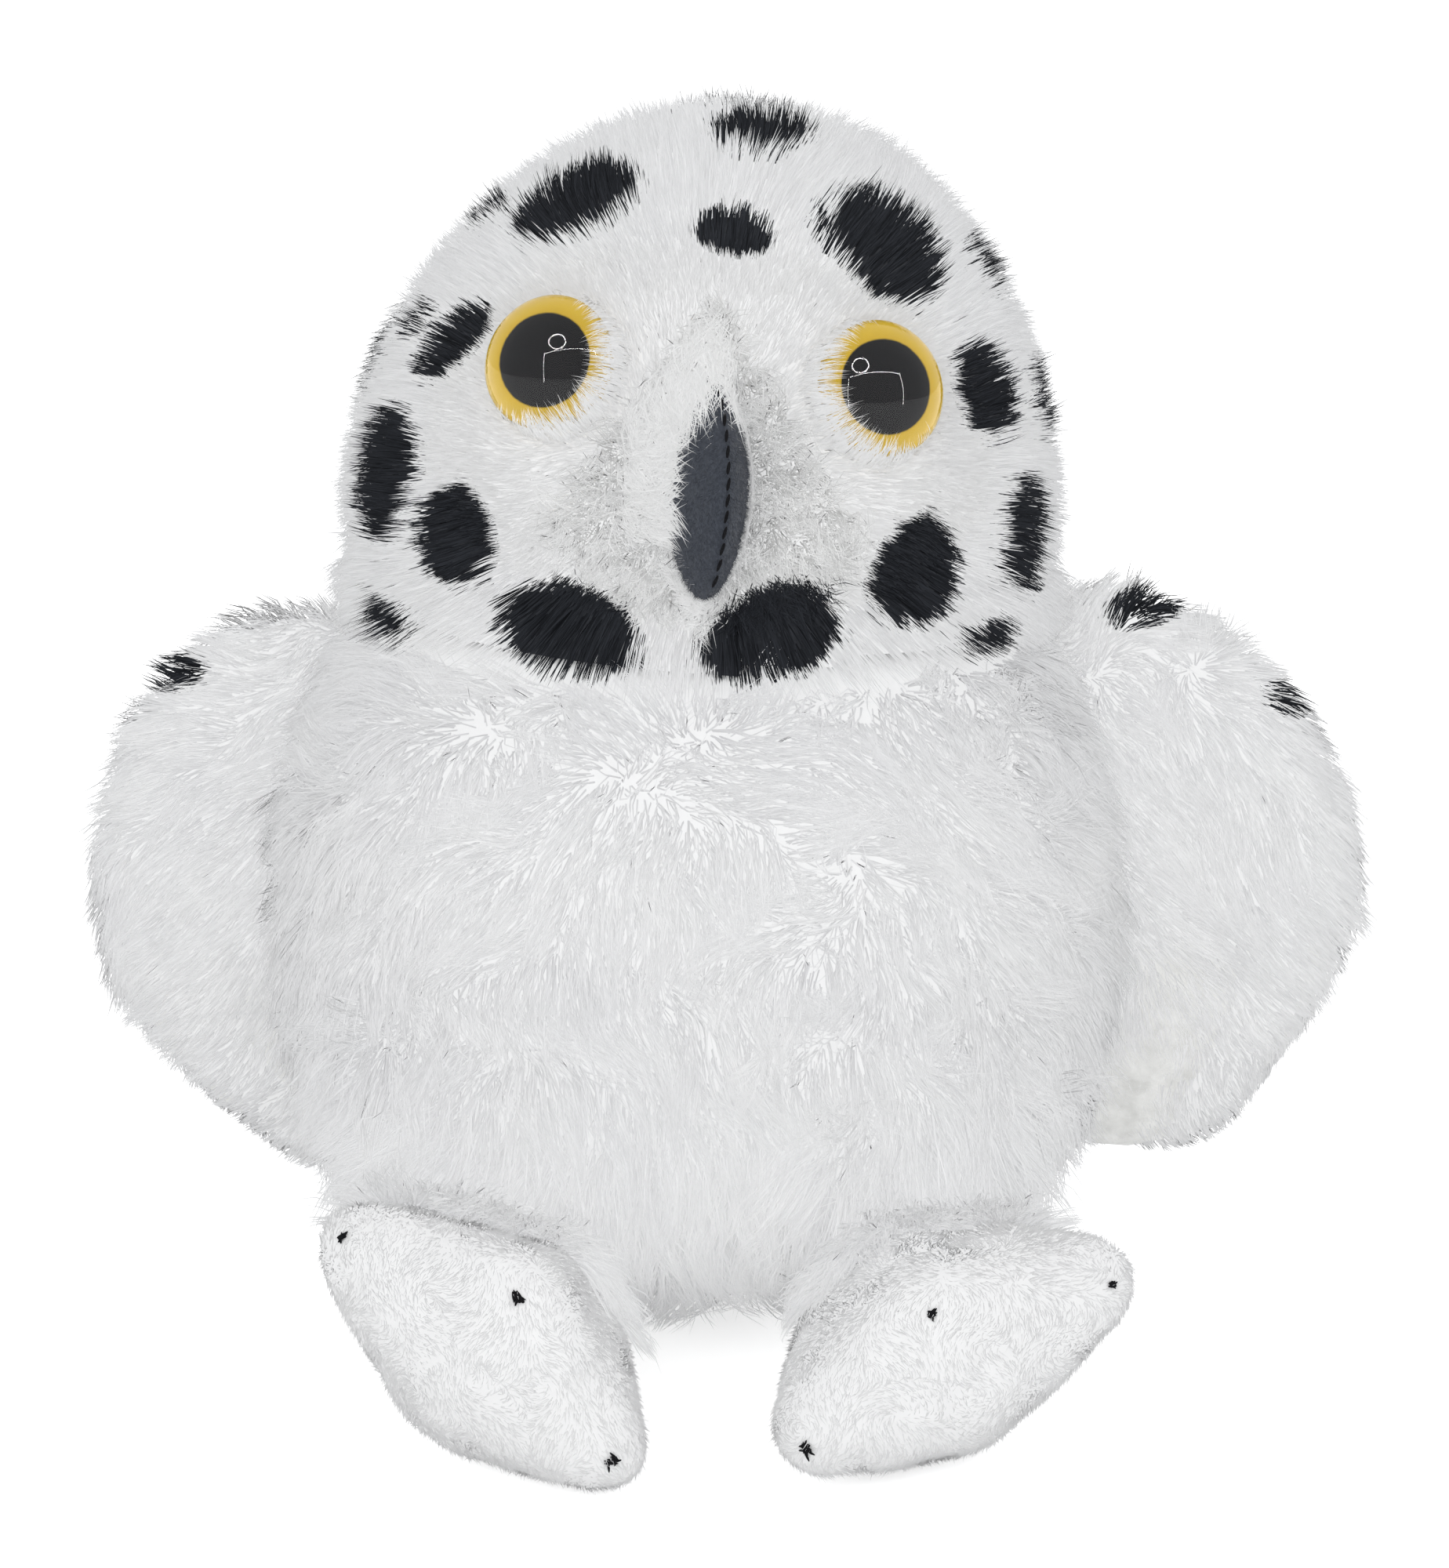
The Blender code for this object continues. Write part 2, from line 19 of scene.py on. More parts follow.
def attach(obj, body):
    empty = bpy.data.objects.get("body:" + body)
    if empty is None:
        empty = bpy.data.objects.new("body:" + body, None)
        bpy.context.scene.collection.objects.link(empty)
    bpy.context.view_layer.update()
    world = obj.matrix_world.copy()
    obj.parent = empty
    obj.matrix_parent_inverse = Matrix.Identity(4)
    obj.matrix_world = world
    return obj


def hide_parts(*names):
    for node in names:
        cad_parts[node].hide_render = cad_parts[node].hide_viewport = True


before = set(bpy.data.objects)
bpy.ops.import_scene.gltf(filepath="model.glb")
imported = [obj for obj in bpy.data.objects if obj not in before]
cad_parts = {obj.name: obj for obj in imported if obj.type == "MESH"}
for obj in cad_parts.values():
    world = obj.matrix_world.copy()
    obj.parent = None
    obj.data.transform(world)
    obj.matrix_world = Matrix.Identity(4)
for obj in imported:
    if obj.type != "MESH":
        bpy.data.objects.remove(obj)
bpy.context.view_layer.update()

scene = bpy.context.scene

# %% [markdown]
# ## Camera, light and floor
# The camera stands a little above the owl and looks straight at it from the front. A long lens keeps the head
# and the feet in proportion. The light is a pale world with soft boxes over the camera and behind the owl,
# which is how white fur is lit so that its locks still show.

# %% Camera
target = Vector((0.0055, 0.0, 0.099))
camera_away = 0.9
camera_up = math.radians(14)


def stand(name, data, place=(0, 0, 0), facing=None):
    """Puts an object in the scene, turned to face a point if one is given."""
    made = bpy.data.objects.new(name, data)
    scene.collection.objects.link(made)
    if facing:
        made.location = place
        made.rotation_euler = (Vector(facing) - made.location).to_track_quat("-Z", "Y").to_euler()
    return made


camera_data = bpy.data.cameras.new("camera")
camera_data.sensor_fit = "VERTICAL"
camera_data.sensor_height = 24
camera_data.lens = 75.6
camera_place = target + Vector((0, -math.cos(camera_up), math.sin(camera_up))) * camera_away
scene.camera = stand("camera", camera_data, camera_place, target)
print("camera at", [round(v, 3) for v in camera_place])


# %% Node helpers
def set_on(shader, **values):
    """Sets numbers and colours on a node's own sockets, named with _ for each space."""
    for name, value in values.items():
        shader.inputs[name.replace("_", " ")].default_value = value


def node(tree, kind, **values):
    """A new shader node with its values set."""
    made = tree.nodes.new("ShaderNode" + kind)
    set_on(made, **values)
    return made


def maths(tree, operation, *values):
    """The result of a Math node that is fed with sockets or numbers."""
    made = node(tree, "Math")
    made.operation = operation
    for socket, value in zip(made.inputs, values):
        if isinstance(value, float):
            socket.default_value = value
        else:
            tree.links.new(value, socket)
    return made.outputs[0]


def shown(tree, kind, first, second, end, factor=None):
    """Mixes or adds two shaders and feeds the tree's output."""
    both = node(tree, kind)
    sockets = [first.outputs[0], second.outputs[0]]
    for source, socket in zip(([factor] if factor else []) + sockets, both.inputs):
        tree.links.new(source, socket)
    tree.links.new(both.outputs[0], tree.nodes[end].inputs["Surface"])


def new_paint(name, roughness, sheen=0.0, specular=0.3):
    """A Principled material with its uniform values set on the shader's own sockets."""
    paint = bpy.data.materials.new(name)
    paint.use_nodes = True
    shader = paint.node_tree.nodes["Principled BSDF"]
    set_on(shader, Roughness=roughness, Specular_IOR_Level=specular, Sheen_Weight=sheen, Sheen_Roughness=0.6)
    return paint, paint.node_tree, shader


# %% World and lamps
white = (1, 1, 1, 1)
world = bpy.data.worlds.new("studio")
world.use_nodes = True
scene.world = world
air = world.node_tree
sky = air.nodes["Background"]
set_on(sky, Color=(0.985, 0.992, 1.0, 1), Strength=0.76)
ray = node(air, "LightPath").outputs
looked_at = maths(air, "MAXIMUM", ray["Is Camera Ray"], ray["Is Transmission Ray"])
shown(air, "MixShader", sky, node(air, "Background", Color=white, Strength=1.0), "World Output", looked_at)


def soft_box(name, place, width, height, power):
    """A rectangular lamp that faces the owl."""
    data = bpy.data.lights.new(name, "AREA")
    data.shape = "RECTANGLE"
    data.size, data.size_y = width, height
    data.energy = power
    stand(name, data, place, (0, 0, 0.1)).visible_glossy = False


soft_box("key_box", (-0.30, -1.05, 0.85), 0.8, 0.8, 2.8)
soft_box("fill_box", (0.55, -1.05, 0.12), 0.7, 0.7, 1.5)
soft_box("back_box", (0.1, 0.9, 0.9), 0.8, 0.6, 2.6)
scene.view_settings.view_transform = "Standard"


# %% Lit outlines for the eyes' highlights
def mesh_of(name, bm, sharp_deg=None):
    """Turns a finished bmesh into a mesh that is smooth but for its sharp edges."""
    mesh = bpy.data.meshes.new(name)
    bm.to_mesh(mesh)
    bm.free()
    mesh.shade_smooth()
    if sharp_deg:
        mesh.set_sharp_from_angle(angle=math.radians(sharp_deg))
    return mesh


def glint(name, place, width, height, bar, strength, corners=4):
    """A thin lit outline that shows only as a highlight on what is glossy."""
    bm = bmesh.new()
    turn = Matrix.Rotation(math.pi / corners, 4, "Z")
    loop = bmesh.ops.create_circle(bm, segments=corners, radius=math.sqrt(0.5), cap_ends=True, matrix=turn)
    bmesh.ops.scale(bm, verts=loop["verts"], vec=(width, height, 1))
    bmesh.ops.inset_region(bm, faces=bm.faces[:], thickness=bar, use_even_offset=True, use_boundary=True)
    middle = [face for face in bm.faces
              if len(face.verts) == corners and face.calc_center_median().length < bar]
    bmesh.ops.delete(bm, geom=middle, context="FACES_ONLY")
    mesh = mesh_of(name, bm)
    glow = bpy.data.materials.new(name + "_glow")
    glow.use_nodes = True
    tree = glow.node_tree
    tree.links.new(node(tree, "Emission", Strength=strength).outputs[0],
                   tree.nodes["Material Output"].inputs["Surface"])
    mesh.materials.append(glow)
    made = stand(name, mesh, place, (0, 0, 0.17))
    made.visible_camera = made.visible_diffuse = False
    made.visible_transmission = made.visible_shadow = False


glint("strip_outline", (0.25, -0.95, 0.30), 1.7, 1.3, 0.028, 30.0)
glint("ring_outline", (-0.10, -0.55, 0.85), 0.26, 0.26, 0.030, 33.0, 24)

# %% Floor
floor_size = 6.0
floor_whitening = 0.55
bm = bmesh.new()
bmesh.ops.create_grid(bm, x_segments=1, y_segments=1, size=floor_size / 2)
floor = stand("floor", mesh_of("floor", bm))
floor_paint, ground, matt_floor = new_paint("floor_paint", 1.0, 0.0, 0.0)
set_on(matt_floor, Base_Color=(0.93, 0.93, 0.93, 1))
ray = node(ground, "LightPath").outputs
looked_at = maths(ground, "MAXIMUM", ray["Is Glossy Ray"], ray["Is Transmission Ray"])
looked_at = maths(ground, "MAXIMUM", ray["Is Camera Ray"], looked_at)
white_floor = node(ground, "Emission")
ground.links.new(maths(ground, "MULTIPLY", looked_at, floor_whitening), white_floor.inputs["Strength"])
shown(ground, "AddShader", matt_floor, white_floor, "Material Output")
floor.data.materials.append(floor_paint)

# %% [markdown]
# ## Materials
# Fur takes its look from how hairs differ: each one has its own tone. Each hair is also a little darker
# towards its root, as painted shade for the shade that falls among the hairs, which cast no shadow here. Both
# come from attributes that the combing step writes on the hairs. Cloth, felt and plastic take their grain
# from noise on
# Object coordinates, so the grain stays put on the piece.

# %% Material helpers
def ramped(tree, source, low, high, low_at=0.0, high_at=1.0):
    """A colour ramp from low to high that follows its source."""
    ramp = node(tree, "ValToRGB")
    for stop, place, colour in zip(ramp.color_ramp.elements, (low_at, high_at), (low, high)):
        stop.position = place
        stop.color = (*colour, 1)
    tree.links.new(source, ramp.inputs["Fac"])
    return ramp


def grain(tree, scale, detail=3.0):
    """Noise on Object coordinates."""
    noise = node(tree, "TexNoise", Scale=scale, Detail=detail)
    tree.links.new(node(tree, "TexCoord").outputs["Object"], noise.inputs["Vector"])
    return noise.outputs["Fac"]


def mixed(tree, first, second, blend="MIX", factor=None):
    """Two colours mixed by a factor's socket, or in full."""
    mix = tree.nodes.new("ShaderNodeMix")
    mix.data_type = "RGBA"
    mix.blend_type = blend
    if factor:
        tree.links.new(factor, mix.inputs["Factor"])
    else:
        set_on(mix, Factor=1.0)
    tree.links.new(first, mix.inputs[6])
    tree.links.new(second, mix.inputs[7])
    return mix.outputs[2]


def written(tree, name):
    """A value that a later step writes on the points of a piece."""
    value = tree.nodes.new("ShaderNodeAttribute")
    value.attribute_name = name
    return value.outputs["Fac"]


def with_spots(tree, plain, dye):
    """A plain colour that gives way to the dye's colour where the spot attribute is under 1."""
    edge = node(tree, "MapRange", From_Min=0.98, From_Max=1.02, To_Min=1.0, To_Max=0.0)
    tree.links.new(written(tree, "spot"), edge.inputs["Value"])
    return mixed(tree, plain, dye, factor=edge.outputs["Result"])


def fur_paint(name, dark, light, root_shade, roughness=0.85, sheen=0.15, dye=None):
    """Pile whose tone varies from hair to hair and is darker towards the root as painted shade, with spots if
    it has a dye.
    """
    paint, tree, shader = new_paint(name, roughness, sheen, 0.1)
    tone = written(tree, "tone")
    hair = ramped(tree, tone, dark, light).outputs["Color"]
    if dye:
        hair = with_spots(tree, hair, ramped(tree, tone, *dye).outputs["Color"])
    # Painted shade: the colour darkens towards each hair's root, for the shade among the hairs.
    roots = ramped(tree, written(tree, "along"), root_shade, (1, 1, 1), 0.0, 0.55)
    drift = ramped(tree, grain(tree, 40), (0.97, 0.97, 0.975), (1, 1, 1), 0.35, 0.65)
    shaded = mixed(tree, hair, roots.outputs["Color"], "MULTIPLY")
    tree.links.new(mixed(tree, shaded, drift.outputs["Color"], "MULTIPLY"), shader.inputs["Base Color"])
    return paint


def cloth_paint(name, dark, light, scale, roughness=0.95, bump_height=0.0004, sheen=0.1, specular=0.3,
                dye=None):
    """Backing cloth, felt or cotton: mottled colour and a fibrous bump, with spots if it has a dye."""
    paint, tree, shader = new_paint(name, roughness, sheen, specular)
    noise = grain(tree, scale, 5.0)
    colour = ramped(tree, noise, dark, light, 0.3, 0.7).outputs["Color"]
    if dye:
        colour = with_spots(tree, colour, ramped(tree, noise, *dye, 0.3, 0.7).outputs["Color"])
    tree.links.new(colour, shader.inputs["Base Color"])
    bump = node(tree, "Bump", Strength=0.5, Distance=bump_height)
    tree.links.new(noise, bump.inputs["Height"])
    tree.links.new(bump.outputs["Normal"], shader.inputs["Normal"])
    return paint


def grey(value):
    return value, value, value


# %% Materials of this owl
white_pair = (0.885, 0.885, 0.89), grey(0.965)
# The black dye's lighter tone is partly the hairs' own tone and partly painted highlight on the black pile.
black_pair = (0.004, 0.005, 0.007), (0.030, 0.033, 0.040)
cloth_pair = grey(0.92), grey(0.95)
short_pair = grey(0.94), (0.965, 0.965, 0.96)
# Each pile gives its darkest and lightest tone, then the colour that its roots darken to as painted shade.
white_pile = fur_paint("white_pile", *white_pair, (0.90, 0.90, 0.905))
spotted_pile = fur_paint("spotted_pile", *white_pair, (0.90, 0.90, 0.905), 0.8, 0.0, black_pair)
short_pile = fur_paint("short_pile", *short_pair, grey(0.97), 0.85, 0.0)
foot_pile = fur_paint("foot_pile", grey(0.87), grey(0.91), grey(0.97), 0.85, 0.3)
face_pile_paint = fur_paint("face_pile", *short_pair, grey(0.97), 0.85, 0.0, black_pair)
# The muzzle's pile is white: its dark tone and dark roots are painted shade for the recesses between its
# tufts.
muzzle_pile = fur_paint("muzzle_pile", (0.64, 0.64, 0.635), (0.965, 0.965, 0.96), (0.68, 0.68, 0.675), 0.85,
                        0.0, black_pair)
slate_fuzz = fur_paint("slate_fuzz", (0.026, 0.031, 0.042), (0.072, 0.081, 0.104), (0.8, 0.8, 0.82), 0.9, 0.1)
white_cloth = cloth_paint("white_cloth", *cloth_pair, 400, 0.95, 0.00005)
plush_cloth = cloth_paint("plush_cloth", grey(0.92), grey(0.96), 250, 0.95, 0.00003, 0.4)
spotted_cloth = cloth_paint("spotted_cloth", *cloth_pair, 400, 0.95, 0.00005, 0.1, 0.1, black_pair)
slate_felt = cloth_paint("slate_felt", (0.024, 0.029, 0.039), (0.052, 0.060, 0.078), 1600, 0.95, 0.0003)
black_thread = cloth_paint("black_thread", (0.003, 0.003, 0.004), (0.012, 0.012, 0.014), 2500, 0.8, 0.0004,
                           0.0, 0.08)
print("materials:", len(bpy.data.materials))

# %% [markdown]
# ## Forms
# Every panel follows one of a few swelling forms: a ball, filled out towards a box and scaled to its half
# sizes. The same forms with other half sizes give the cloth under the pile and tell which hairs would grow
# inside a neighbour, so each form comes with a test for whether a point lies in it.

# %% Sizes of the forms, in metres
seat_flat = 0.0005
body_half = Vector((0.0785, 0.069, 0.0735))
body_top_height = 0.085
body_chest_lean = 0.008
body_fullness = 2.3
body_centre = Vector((0, 0, body_half.z - seat_flat))

head_half = Vector((0.065, 0.059, 0.070))
head_top_draw = 0.006
head_top_aside = 0.004
head_fullness = 2.05
head_frame = Matrix.Translation((0.0017, -0.004, 0.1545)) @ Matrix.Rotation(math.radians(4.5), 4, "Y")

wing_half = Vector((0.035, 0.0145, 0.057))
wing_middle = Vector((0.084, 0.013, 0.076))
wing_top_lean = 0.010
wing_tip_lean = 0.014
wing_fullness = 2.2
wing_turn_deg = 7
wing_spread_deg = {"left": 6.5, "right": -7}
shoulder = Vector((0.0615, 0.013, 0.126))
sides = {"left": 1, "right": -1}

fineness = 1.0


# %% Form helpers
def unit(vectors):
    """Vectors at length one."""
    return vectors / np.maximum(np.linalg.norm(vectors, axis=-1, keepdims=True), 1e-12)


def placed(matrix, points):
    """Points moved by a matrix."""
    matrix = np.array(matrix)
    return points @ matrix[:3, :3].T + matrix[:3, 3]


def pushed(half, extra):
    """Half sizes grown by extra on every side."""
    return Vector((half.x + extra, half.y + extra, half.z + extra))


def places(verts):
    """The places of vertices, as an array."""
    return np.array([vert.co[:] for vert in verts])


def face_order(face):
    """A number made of a face's first three vertices, which is the same on every run."""
    first, second, third = sorted(vert.index for vert in face.verts)[:3]
    return (first * 1e5 + second) * 1e5 + third


def ball(rounds, rings):
    """A ball of radius one. Its faces are sorted, because the operator's own order differs between runs."""
    bm = bmesh.new()
    bmesh.ops.create_uvsphere(bm, u_segments=rounds, v_segments=rings, radius=1)
    bm.verts.index_update()
    bm.faces.sort(key=face_order)
    bm.faces.index_update()
    return bm


def swollen(half, fullness, rounds, rings):
    """A ball filled out by its fullness and scaled to its half sizes."""
    bm = ball(rounds, rings)
    for vert in bm.verts:
        shares = [abs(share) ** fullness for share in vert.co]
        vert.co /= sum(shares) ** (1 / fullness)
        vert.co = Vector((vert.co.x * half.x, vert.co.y * half.y, vert.co.z * half.z))
    return bm


def body_form(extra, rounds=120, rings=80):
    """The body, taller above its widest girth and with its chest forward."""
    half = pushed(body_half, extra)
    bm = swollen(half, body_fullness, rounds, rings)
    for vert in bm.verts:
        rise_share = max(vert.co.z / half.z, 0)
        vert.co.z += rise_share * (body_top_height - body_half.z)
        vert.co.y -= rise_share * body_chest_lean
    bmesh.ops.translate(bm, verts=bm.verts, vec=body_centre)
    return bm


def head_form(extra, rounds=120, rings=80):
    """The head, drawn in at its top and leaning on the neck."""
    half = pushed(head_half, extra)
    bm = swollen(half, head_fullness, rounds, rings)
    for vert in bm.verts:
        rise_share = max(vert.co.z / half.z, 0)
        vert.co.x -= vert.co.x / half.x * head_top_draw * rise_share
        vert.co.x += head_top_aside * rise_share ** 2
    bmesh.ops.transform(bm, matrix=head_frame, verts=bm.verts)
    return bm


def turn_about(point, angle_deg, axis):
    """The matrix of a turn about an axis through a point."""
    turn = Matrix.Rotation(math.radians(angle_deg), 4, axis)
    return Matrix.Translation(point) @ turn @ Matrix.Translation(-point)


def wing_place(side_name):
    """Where a wing's upright form goes, hung from its shoulder."""
    side = sides[side_name]
    joint = Vector((shoulder.x * side, shoulder.y, shoulder.z))
    turn = turn_about(joint, -wing_turn_deg * side, "Z")
    spread = turn_about(joint, -wing_spread_deg[side_name] * side, "Y")
    return spread @ turn @ Matrix.Translation((wing_middle.x * side, wing_middle.y, wing_middle.z))


def wing_form(side_name, extra, rounds=110, rings=90):
    """A wing: a leaf whose top and tip draw in towards the body."""
    half = pushed(wing_half, extra)
    bm = swollen(half, wing_fullness, rounds, rings)
    for vert in bm.verts:
        height_share = vert.co.z / half.z
        lean = wing_top_lean if height_share > 0 else wing_tip_lean
        vert.co.x = (vert.co.x - lean * height_share ** 2) * sides[side_name]
    bmesh.ops.transform(bm, matrix=wing_place(side_name), verts=bm.verts)
    bmesh.ops.recalc_face_normals(bm, faces=bm.faces)
    return bm


# %% Tests for what lies inside a form
def within(x, y, z, half, fullness):
    """True inside a swollen form."""
    points = np.stack([x, y, z], 1)
    return (np.abs(points / np.array(half)) ** fullness).sum(1) ** (1 / fullness) < 1


def in_body(points, extra=0.0):
    """True for points inside the body form grown by extra."""
    half = pushed(body_half, extra)
    q = points - np.array(body_centre)
    tall = 1 + (body_top_height - body_half.z) / half.z
    z = np.where(q[:, 2] > 0, q[:, 2] / tall, q[:, 2])
    return within(q[:, 0], q[:, 1] + np.maximum(z / half.z, 0) * body_chest_lean, z, half, body_fullness)


def in_head(points, extra=0.0):
    """True for points inside the head form grown by extra."""
    half = pushed(head_half, extra)
    q = placed(head_frame.inverted(), points)
    rise_share = np.maximum(q[:, 2] / half.z, 0)
    x = (q[:, 0] - head_top_aside * rise_share ** 2) / (1 - head_top_draw * rise_share / half.x)
    return within(x, q[:, 1], q[:, 2], half, head_fullness)


def in_wing(points, side_name, extra=0.0):
    """True for points inside a wing form grown by extra."""
    half = pushed(wing_half, extra)
    q = placed(wing_place(side_name).inverted(), points)
    share = q[:, 2] / half.z
    lean = np.where(share > 0, wing_top_lean, wing_tip_lean) * share ** 2
    return within(q[:, 0] * sides[side_name] + lean, q[:, 1], q[:, 2], half, wing_fullness)


# %% [markdown]
# ## Hair
# A hair is a thin three-sided cone. One is made with bmesh as a template. Its copies are then bent along
# combed lines, all at once with numpy, because tens of thousands of separate operator calls would take
# minutes. Each hair leans more as it leaves the cloth, and its tip is drawn to the tip of a leading hair
# nearby, which gives the pointed locks of real plush.

# %% Coats
# What each part's pile is like: its material and slot, its hairs per square mm and their radius, how they
# lean at root and tip, the steps along a hair, the hairs in each lock and how far they are pulled. Then how
# uneven, stray and curled the hairs are, how thick a tip is, and how much a hair's own roundness shows.
Coat = namedtuple(
    "Coat", "paint slot per_square_mm radius rise_deg lay_deg levels locks uneven stray_deg curl tip_share"
    " roundness", defaults=(0.15, 9, 0.0, 0.12, 0.35))
shaggy = white_pile, "shaggy_white_fur"
spotted = spotted_pile, "spotted_fur"
trimmed = muzzle_pile, "trimmed_muzzle_fur"
plush = "short_white_plush"
coats = {
    "belly": Coat(*shaggy, 1.22, 0.00018, 40, 75, 3, [(60, 0.30), (16, 0.66)], 0.2, curl=0.22),
    "back": Coat(*spotted, 0.80, 0.00018, 44, 74, 2, [(12, 0.40)]),
    "head": Coat(*spotted, 2.0, 0.00015, 34, 72, 2, [(9, 0.40)], stray_deg=7),
    "face": Coat(face_pile_paint, plush, 4.6, 0.00011, 28, 62, 2, [(6, 0.22)], stray_deg=14, roundness=0.15),
    "rim": Coat(short_pile, plush, 11.0, 0.00011, 4, 62, 3, [(8, 0.30)]),
    "muzzle": Coat(*trimmed, 3.4, 0.00015, 10, 70, 3, [(16, 0.80)], 0.30, 20, 0.9, roundness=0.6),
    "beak_lap": Coat(*trimmed, 9.0, 0.00016, 2, 70, 3, [(12, 0.60)], 0.25, 14, 0.4, 0.4, 0.4),
    "beak_fuzz": Coat(slate_fuzz, "slate_felt", 7.5, 0.00006, 55, 80, 1, [], stray_deg=25),
    "wing_front": Coat(*shaggy, 1.9, 0.00016, 40, 72, 2, [(70, 0.25), (13, 0.45)], curl=0.12),
    "wing_back": Coat(*spotted, 1.9, 0.00017, 40, 72, 2, [(70, 0.25), (13, 0.45)], curl=0.12),
    "nap": Coat(foot_pile, plush, 3.0, 0.00010, 52, 84, 1, [], stray_deg=14, tip_share=0.3, roundness=0.1),
    "apron": Coat(*shaggy, 2.4, 0.00018, 58, 92, 3, [(14, 0.66)], 0.25, curl=0.15),
    "tail": Coat(*spotted, 1.0, 0.00017, 48, 76, 2, [(12, 0.40)])}


# %% Comb helpers
def scatter(bm, coat, rng):
    """Root points spread evenly over a form's faces, with their outward normals. The form is used up."""
    bm.normal_update()
    triangles = bm.calc_loop_triangles()
    corners = np.array([[loop.vert.co[:] for loop in triangle] for triangle in triangles])
    normals = np.array([[loop.vert.normal[:] for loop in triangle] for triangle in triangles])
    bm.free()
    area = np.linalg.norm(np.cross(corners[:, 1] - corners[:, 0], corners[:, 2] - corners[:, 0]), axis=1) / 2
    count = int(area.sum() * 1e6 * coat.per_square_mm * fineness)
    picked = rng.choice(len(area), count, p=area / area.sum())
    first, second = rng.random((2, count))
    over = first + second > 1
    first[over] = 1 - first[over]
    second[over] = 1 - second[over]
    weights = np.stack([1 - first - second, first, second], 1)[:, :, None]
    return (corners[picked] * weights).sum(1), unit((normals[picked] * weights).sum(1))


def ruffle(points, wavelength, seed, waves=8):
    """A smooth random vector at each point, which changes over about one wavelength."""
    rng = np.random.default_rng(seed)
    total = np.zeros_like(points)
    for _ in range(waves):
        heading = unit(rng.normal(size=3)) * math.tau / (wavelength * rng.uniform(0.7, 1.5))
        total += np.sin(points @ heading + rng.uniform(0, math.tau))[:, None] * unit(rng.normal(size=3))
    return total * 1.6 / math.sqrt(waves)


def patchy(roots, rng, drift=0.3):
    """A tone that drifts over the pile and differs a little from hair to hair."""
    return 0.5 + drift * ruffle(roots, 0.006, 8)[:, 0] + 0.25 * rng.normal(size=len(roots))


def along_skin(flow, normals):
    """Directions laid flat against the cloth."""
    return unit(flow - (flow * normals).sum(1, keepdims=True) * normals)


def comb(roots, normals, flow, rng, length, coat, lifts_deg=(0, 0)):
    """The line of each hair, drawn into its locks. Some hairs are lifted off the coat's lean by an angle."""
    count = len(roots)
    lengths = (length * (1 + coat.uneven * rng.normal(size=count)).clip(0.45, 1.5))[:, None]
    stray = np.radians(coat.stray_deg) * rng.normal(size=(count, 2))
    leans = (coat.rise_deg - lifts_deg[0], coat.lay_deg - lifts_deg[1])
    rise_deg, lay_deg = (np.broadcast_to(angle, count)[:, None] for angle in leans)
    across = np.cross(normals, flow)
    heading = unit(flow + across * np.tan(stray[:, :1]))
    phase = rng.uniform(0, math.tau, (count, 1))
    line = [roots]
    for level in range(coat.levels):
        share = (level + 0.5) / coat.levels
        lean = np.radians(rise_deg + (lay_deg - rise_deg) * share) + stray[:, 1:]
        sway = across * coat.curl * np.sin(phase + share * math.tau * 0.8)
        step = unit(normals * np.cos(lean) + heading * np.sin(lean) + sway)
        line.append(line[-1] + step * lengths / coat.levels)
    lines = np.stack(line, 1)
    for hairs_per_lock, pull in coat.locks:
        lines = gathered(lines, rng, hairs_per_lock, pull)
    return lines


lock_power = 1.3


def gathered(lines, rng, hairs_per_lock, pull):
    """Hairs drawn towards the nearest leading hair, more so towards their tips."""
    leaders = rng.choice(len(lines), max(len(lines) // hairs_per_lock, 1), replace=False)
    tree = KDTree(len(leaders))
    for place, leader in enumerate(leaders):
        tree.insert(lines[leader, 0], place)
    tree.balance()
    nearest = np.array([leaders[tree.find(root)[1]] for root in lines[:, 0]])
    shares = np.linspace(0, 1, lines.shape[1]) ** lock_power
    held = (pull * shares)[None, :, None] * rng.uniform(0.5, 1.15, (len(lines), 1, 1)).clip(0, 1)
    return lines * (1 - held) + lines[nearest] * held


def laid_over(lines, tree, rise, near):
    """Lays hairs on a neighbour: their points that fall in its form move out to its skin."""
    for row, level in zip(*np.nonzero(near)):
        point = Vector(lines[row, level])
        skin, outward = tree.find_nearest(point)[:2]
        if level and (point - skin).dot(outward) < rise * level:
            lines[row, level] = skin + outward * rise * level
    return lines


def tree_of(bm):
    """A tree for finding places on a form's skin. The form is used up."""
    tree = BVHTree.FromBMesh(bm)
    bm.free()
    return tree


# %% Template hair
def hair_template(levels):
    """Vertices (round x, round y, height) and faces of a three-sided cone cut at each level."""
    bm = bmesh.new()
    turned = Matrix.Rotation(math.pi, 4, "Z")
    bmesh.ops.create_cone(bm, cap_ends=False, segments=3, radius1=1, radius2=0, depth=1, matrix=turned)
    bmesh.ops.remove_doubles(bm, verts=bm.verts, dist=1e-5)
    bmesh.ops.translate(bm, verts=bm.verts, vec=(0, 0, 0.5))
    for level in range(1, levels):
        everything = bm.verts[:] + bm.edges[:] + bm.faces[:]
        bmesh.ops.bisect_plane(bm, geom=everything, plane_co=(0, 0, level / levels), plane_no=(0, 0, 1))
    bm.verts.ensure_lookup_table()
    spots = places(bm.verts)
    faces = [[vert.index for vert in face.verts] for face in bm.faces]
    bm.free()
    return spots, faces


